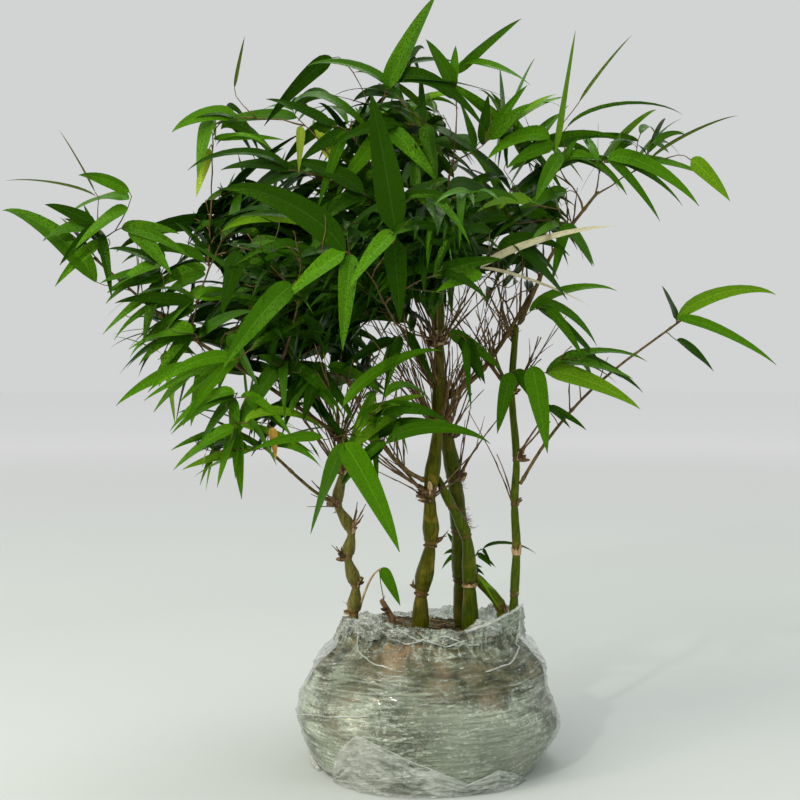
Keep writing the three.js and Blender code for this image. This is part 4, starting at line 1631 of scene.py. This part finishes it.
def seed_low_shoots():
    """Places for twigs low on the culms."""
    for culm, level, way in LOW_SHOOTS:
        place, out, _ = on_culm(culm, level, way)
        skeleton.add(place, unit(out + 0.8 * UP), 0.0, -1)


FAN_DEPTH = 0.35  # share of a mass's depth at which its fans stand, from its front
FAN_SCATTER = 18  # degrees either way from a leaf's own place in its fan
SINGLE_SCATTER = 4
FAN_MARGIN = 2 * MM  # kept clear round the blade of a fan's leaf, seen from the front
FAN_THICKNESS = 6 * MM


def grow_fan(mass, fan):
    """A twig grown to the hub, with leaves spread round the heading. Level ones sag, steep ones hardly."""
    across, up, heading, spread, count, length, width, tone = fan
    way = np.array([math.cos(math.radians(heading)), -0.15, math.sin(math.radians(heading))])
    line = skeleton.grow(mass.at((across, FAN_DEPTH, up)), way)
    leaves = []
    for i in range(count):
        share = i / (count - 1) - 0.5 if count > 1 else 0.0
        scatter = SINGLE_SCATTER if count == 1 else FAN_SCATTER
        angle = math.radians(heading + spread * share + rng.uniform(-scatter, scatter))
        own = length * MM * (1.0 if count == 1 else rng.uniform(0.68, 1.12))
        broad = width * MM * (1.0 if count == 1 else rng.uniform(0.7, 1.1))
        way = np.array([math.cos(angle), rng.uniform(-0.35, 0.15), math.sin(angle)])
        level = 0.08 if tone in ("olive", "straw") else 0.3
        sag = abs(math.cos(angle)) * (level if count == 1 else rng.uniform(0.05, 0.5))
        if math.sin(angle) < -0.3:
            sag *= 0.4
        elif math.sin(angle) > 0.6:
            sag *= 0.1
        if count > 1:
            way = way - UP * sag
        way = unit(way)
        base = line[-1] - unit(line[-1] - line[-3]) * i * rng.uniform(3, 8) * MM
        while own > 5 * MM and (np.any(base + way * own < CAD_LOW) or np.any(base + way * own > CAD_HIGH)):
            own *= 0.95
        tip = base + way * own
        arch = 0.04 + 0.4 * sag
        face = np.array([rng.gauss(0, 0.3), -1, rng.uniform(0.1, 0.8)])
        add_leaf(
            PIECE_OF[mass.name], base, tip, min(broad, 0.3 * own), arch, near_tone(tone), face,
            roll=rng.gauss(0, 0.3), fold=rng.uniform(0.1, 0.4), wave=rng.uniform(0, 0.14),
        )
        start = seen(base)
        back = min(base[1], tip[1]) + FAN_THICKNESS
        leaves.append((start, seen(tip) - start, broad / 2 + FAN_MARGIN, back))
    return leaves


def grow_fans():
    """All the fans, and where their leaves lie, so that the sprays keep clear of the view of them."""
    leaves = [leaf for name, *fan in listed(FANS) for leaf in grow_fan(MASSES[name], fan)]
    fan_spans[:] = [np.array(column) for column in zip(*leaves)]


def add_stub_stalk():
    """The dried stalk that arches from the left culm over to the low leaf by the dead stub."""
    start, _, _ = on_culm("left_culm", 122, -10)
    end = MASSES["stub_leaf"].at((0.0, FAN_DEPTH, 1.0))
    t = np.linspace(0, 1, 16)[:, None]
    line = start * (1 - t) + end * t + UP * 7 * MM * np.sin(math.pi * t)
    shape = Shape()
    add_tube(shape, line, np.linspace(1.1, 0.6, 16) * MM, 8)
    shape.piece("low_leaf_stalk", [SHEATH], "dead_wood")


def add_shoot_blade():
    """The one young blade on the oblique shoot, which lies close along its upper side."""
    base, _, _ = on_culm("oblique_shoot", 117, -50)
    tip = base + np.array([-22, -3, 29]) * MM
    add_leaf("leaves_right", base, tip, 8.5 * MM, 0.04, "light", (0.3, -1, 0.5), fold=0.35)


SPRAY_DEPTH = 9 * MM
SPRAY_GAP = 15 * MM


def spray_targets():
    """Seeded places for sprays: SPRAY_DEPTH or more inside a mass, and SPRAY_GAP or more apart within it."""
    targets = []
    for name, mass in MASSES.items():
        share = LEAFINESS.get(name, 1.0)
        if share == 0:
            continue
        volume = mass.size.prod() * MASS_FILL
        wanted = max(2, int(volume * DENSITY * share / LEAVES_A_SPRAY))
        placed = []
        for _ in range(wanted * 40):
            if len(placed) >= wanted:
                break
            point = mass.at([rng.random() for _ in range(3)])
            deep = mass.depth(point)
            if deep < SPRAY_DEPTH:
                continue
            if all(np.linalg.norm(point - other) > SPRAY_GAP for other in placed):
                placed.append(point)
        targets += [(mass, point) for point in placed]
    return targets


def grow_foliage():
    """Sprays at all the targets, the ones nearest to the limbs and fans first."""
    targets = spray_targets()
    roots = np.array(skeleton.places)
    targets.sort(key=lambda pair: np.linalg.norm(roots - pair[1], axis=1).min())
    for mass, point in targets:
        hub = np.array([0.0, 0.02, point[2] - 90 * MM])
        outward = unit(point - hub)
        scatter = np.array([rng.gauss(0, 1) for _ in range(3)])
        heading = unit(outward + 0.55 * scatter + 0.25 * UP)
        # the palette darkens inner sprays as painted shade and lightens outer ones as painted light
        tone = pick(PALETTES[PALETTE_OF.get(mass.name, "edge")])
        grow_spray(mass, point, heading, tone)


TWIG_TIP = 0.32 * MM
TWIG_FOOT = (0.42 * MM, 1.5 * MM)  # radius where a twig carries nothing but itself, and the most there is


def add_twigs():
    """All the twigs as one piece, each as thick as the twigs beyond it need."""
    twigs = skeleton.twigs
    for twig in reversed(twigs):
        if twig["parent"] >= 0:
            twigs[twig["parent"]]["load"] += twig["load"]
    shape = Shape()
    for twig in twigs:
        thick = min(TWIG_FOOT[0] * twig["load"] ** 0.32, TWIG_FOOT[1])
        count = len(twig["line"])
        radii = np.linspace(thick, TWIG_TIP, count)
        radii[1::3] *= 1.25
        kind = 1 if thick < 0.55 * MM and rng.random() < 0.45 else 0
        add_tube(shape, twig["line"], radii, 6, kind)
    shape.piece("twigs", [TWIG_WOOD, GREEN_TWIG], "twig")


def add_leaf_pieces():
    """The leaves of each group of masses as one piece, in their place."""
    materials = [looks[tone] for looks in (LEAF_TONES, RIB_TONES) for tone in TONES]
    for piece, names in FOLIAGE_PIECES.items():
        leaf_shapes[piece].piece(piece, materials, "foliage", names)


# ---- The scene ----
add_camera()
add_floor()
add_lights()
for name in ("crossing_culm", "right_culm", "oblique_shoot"):
    add_culm(name, CULM_TONES["green"])
add_culm("main_culm", CULM_TONES["olive"])
add_culm("left_culm", CULM_TONES["weathered"])
add_culm("rear_culm", CULM_TONES["shaded"])
add_culm("dead_stub", BROWN_WOOD)
for name in BOUGH_NAMES:
    add_bough(name)
add_culm_details()
add_soil()
film_angles = [i / AROUND * FULL_TURN for i in range(AROUND)]
film_wall = Wall(film_angles)
add_film(film_wall, film_angles)
add_loose_film(film_wall)
add_litter()
seed_skeleton()
seed_low_shoots()
grow_fans()
grow_foliage()
add_stub_stalk()
add_shoot_blade()
add_twigs()
add_leaf_pieces()
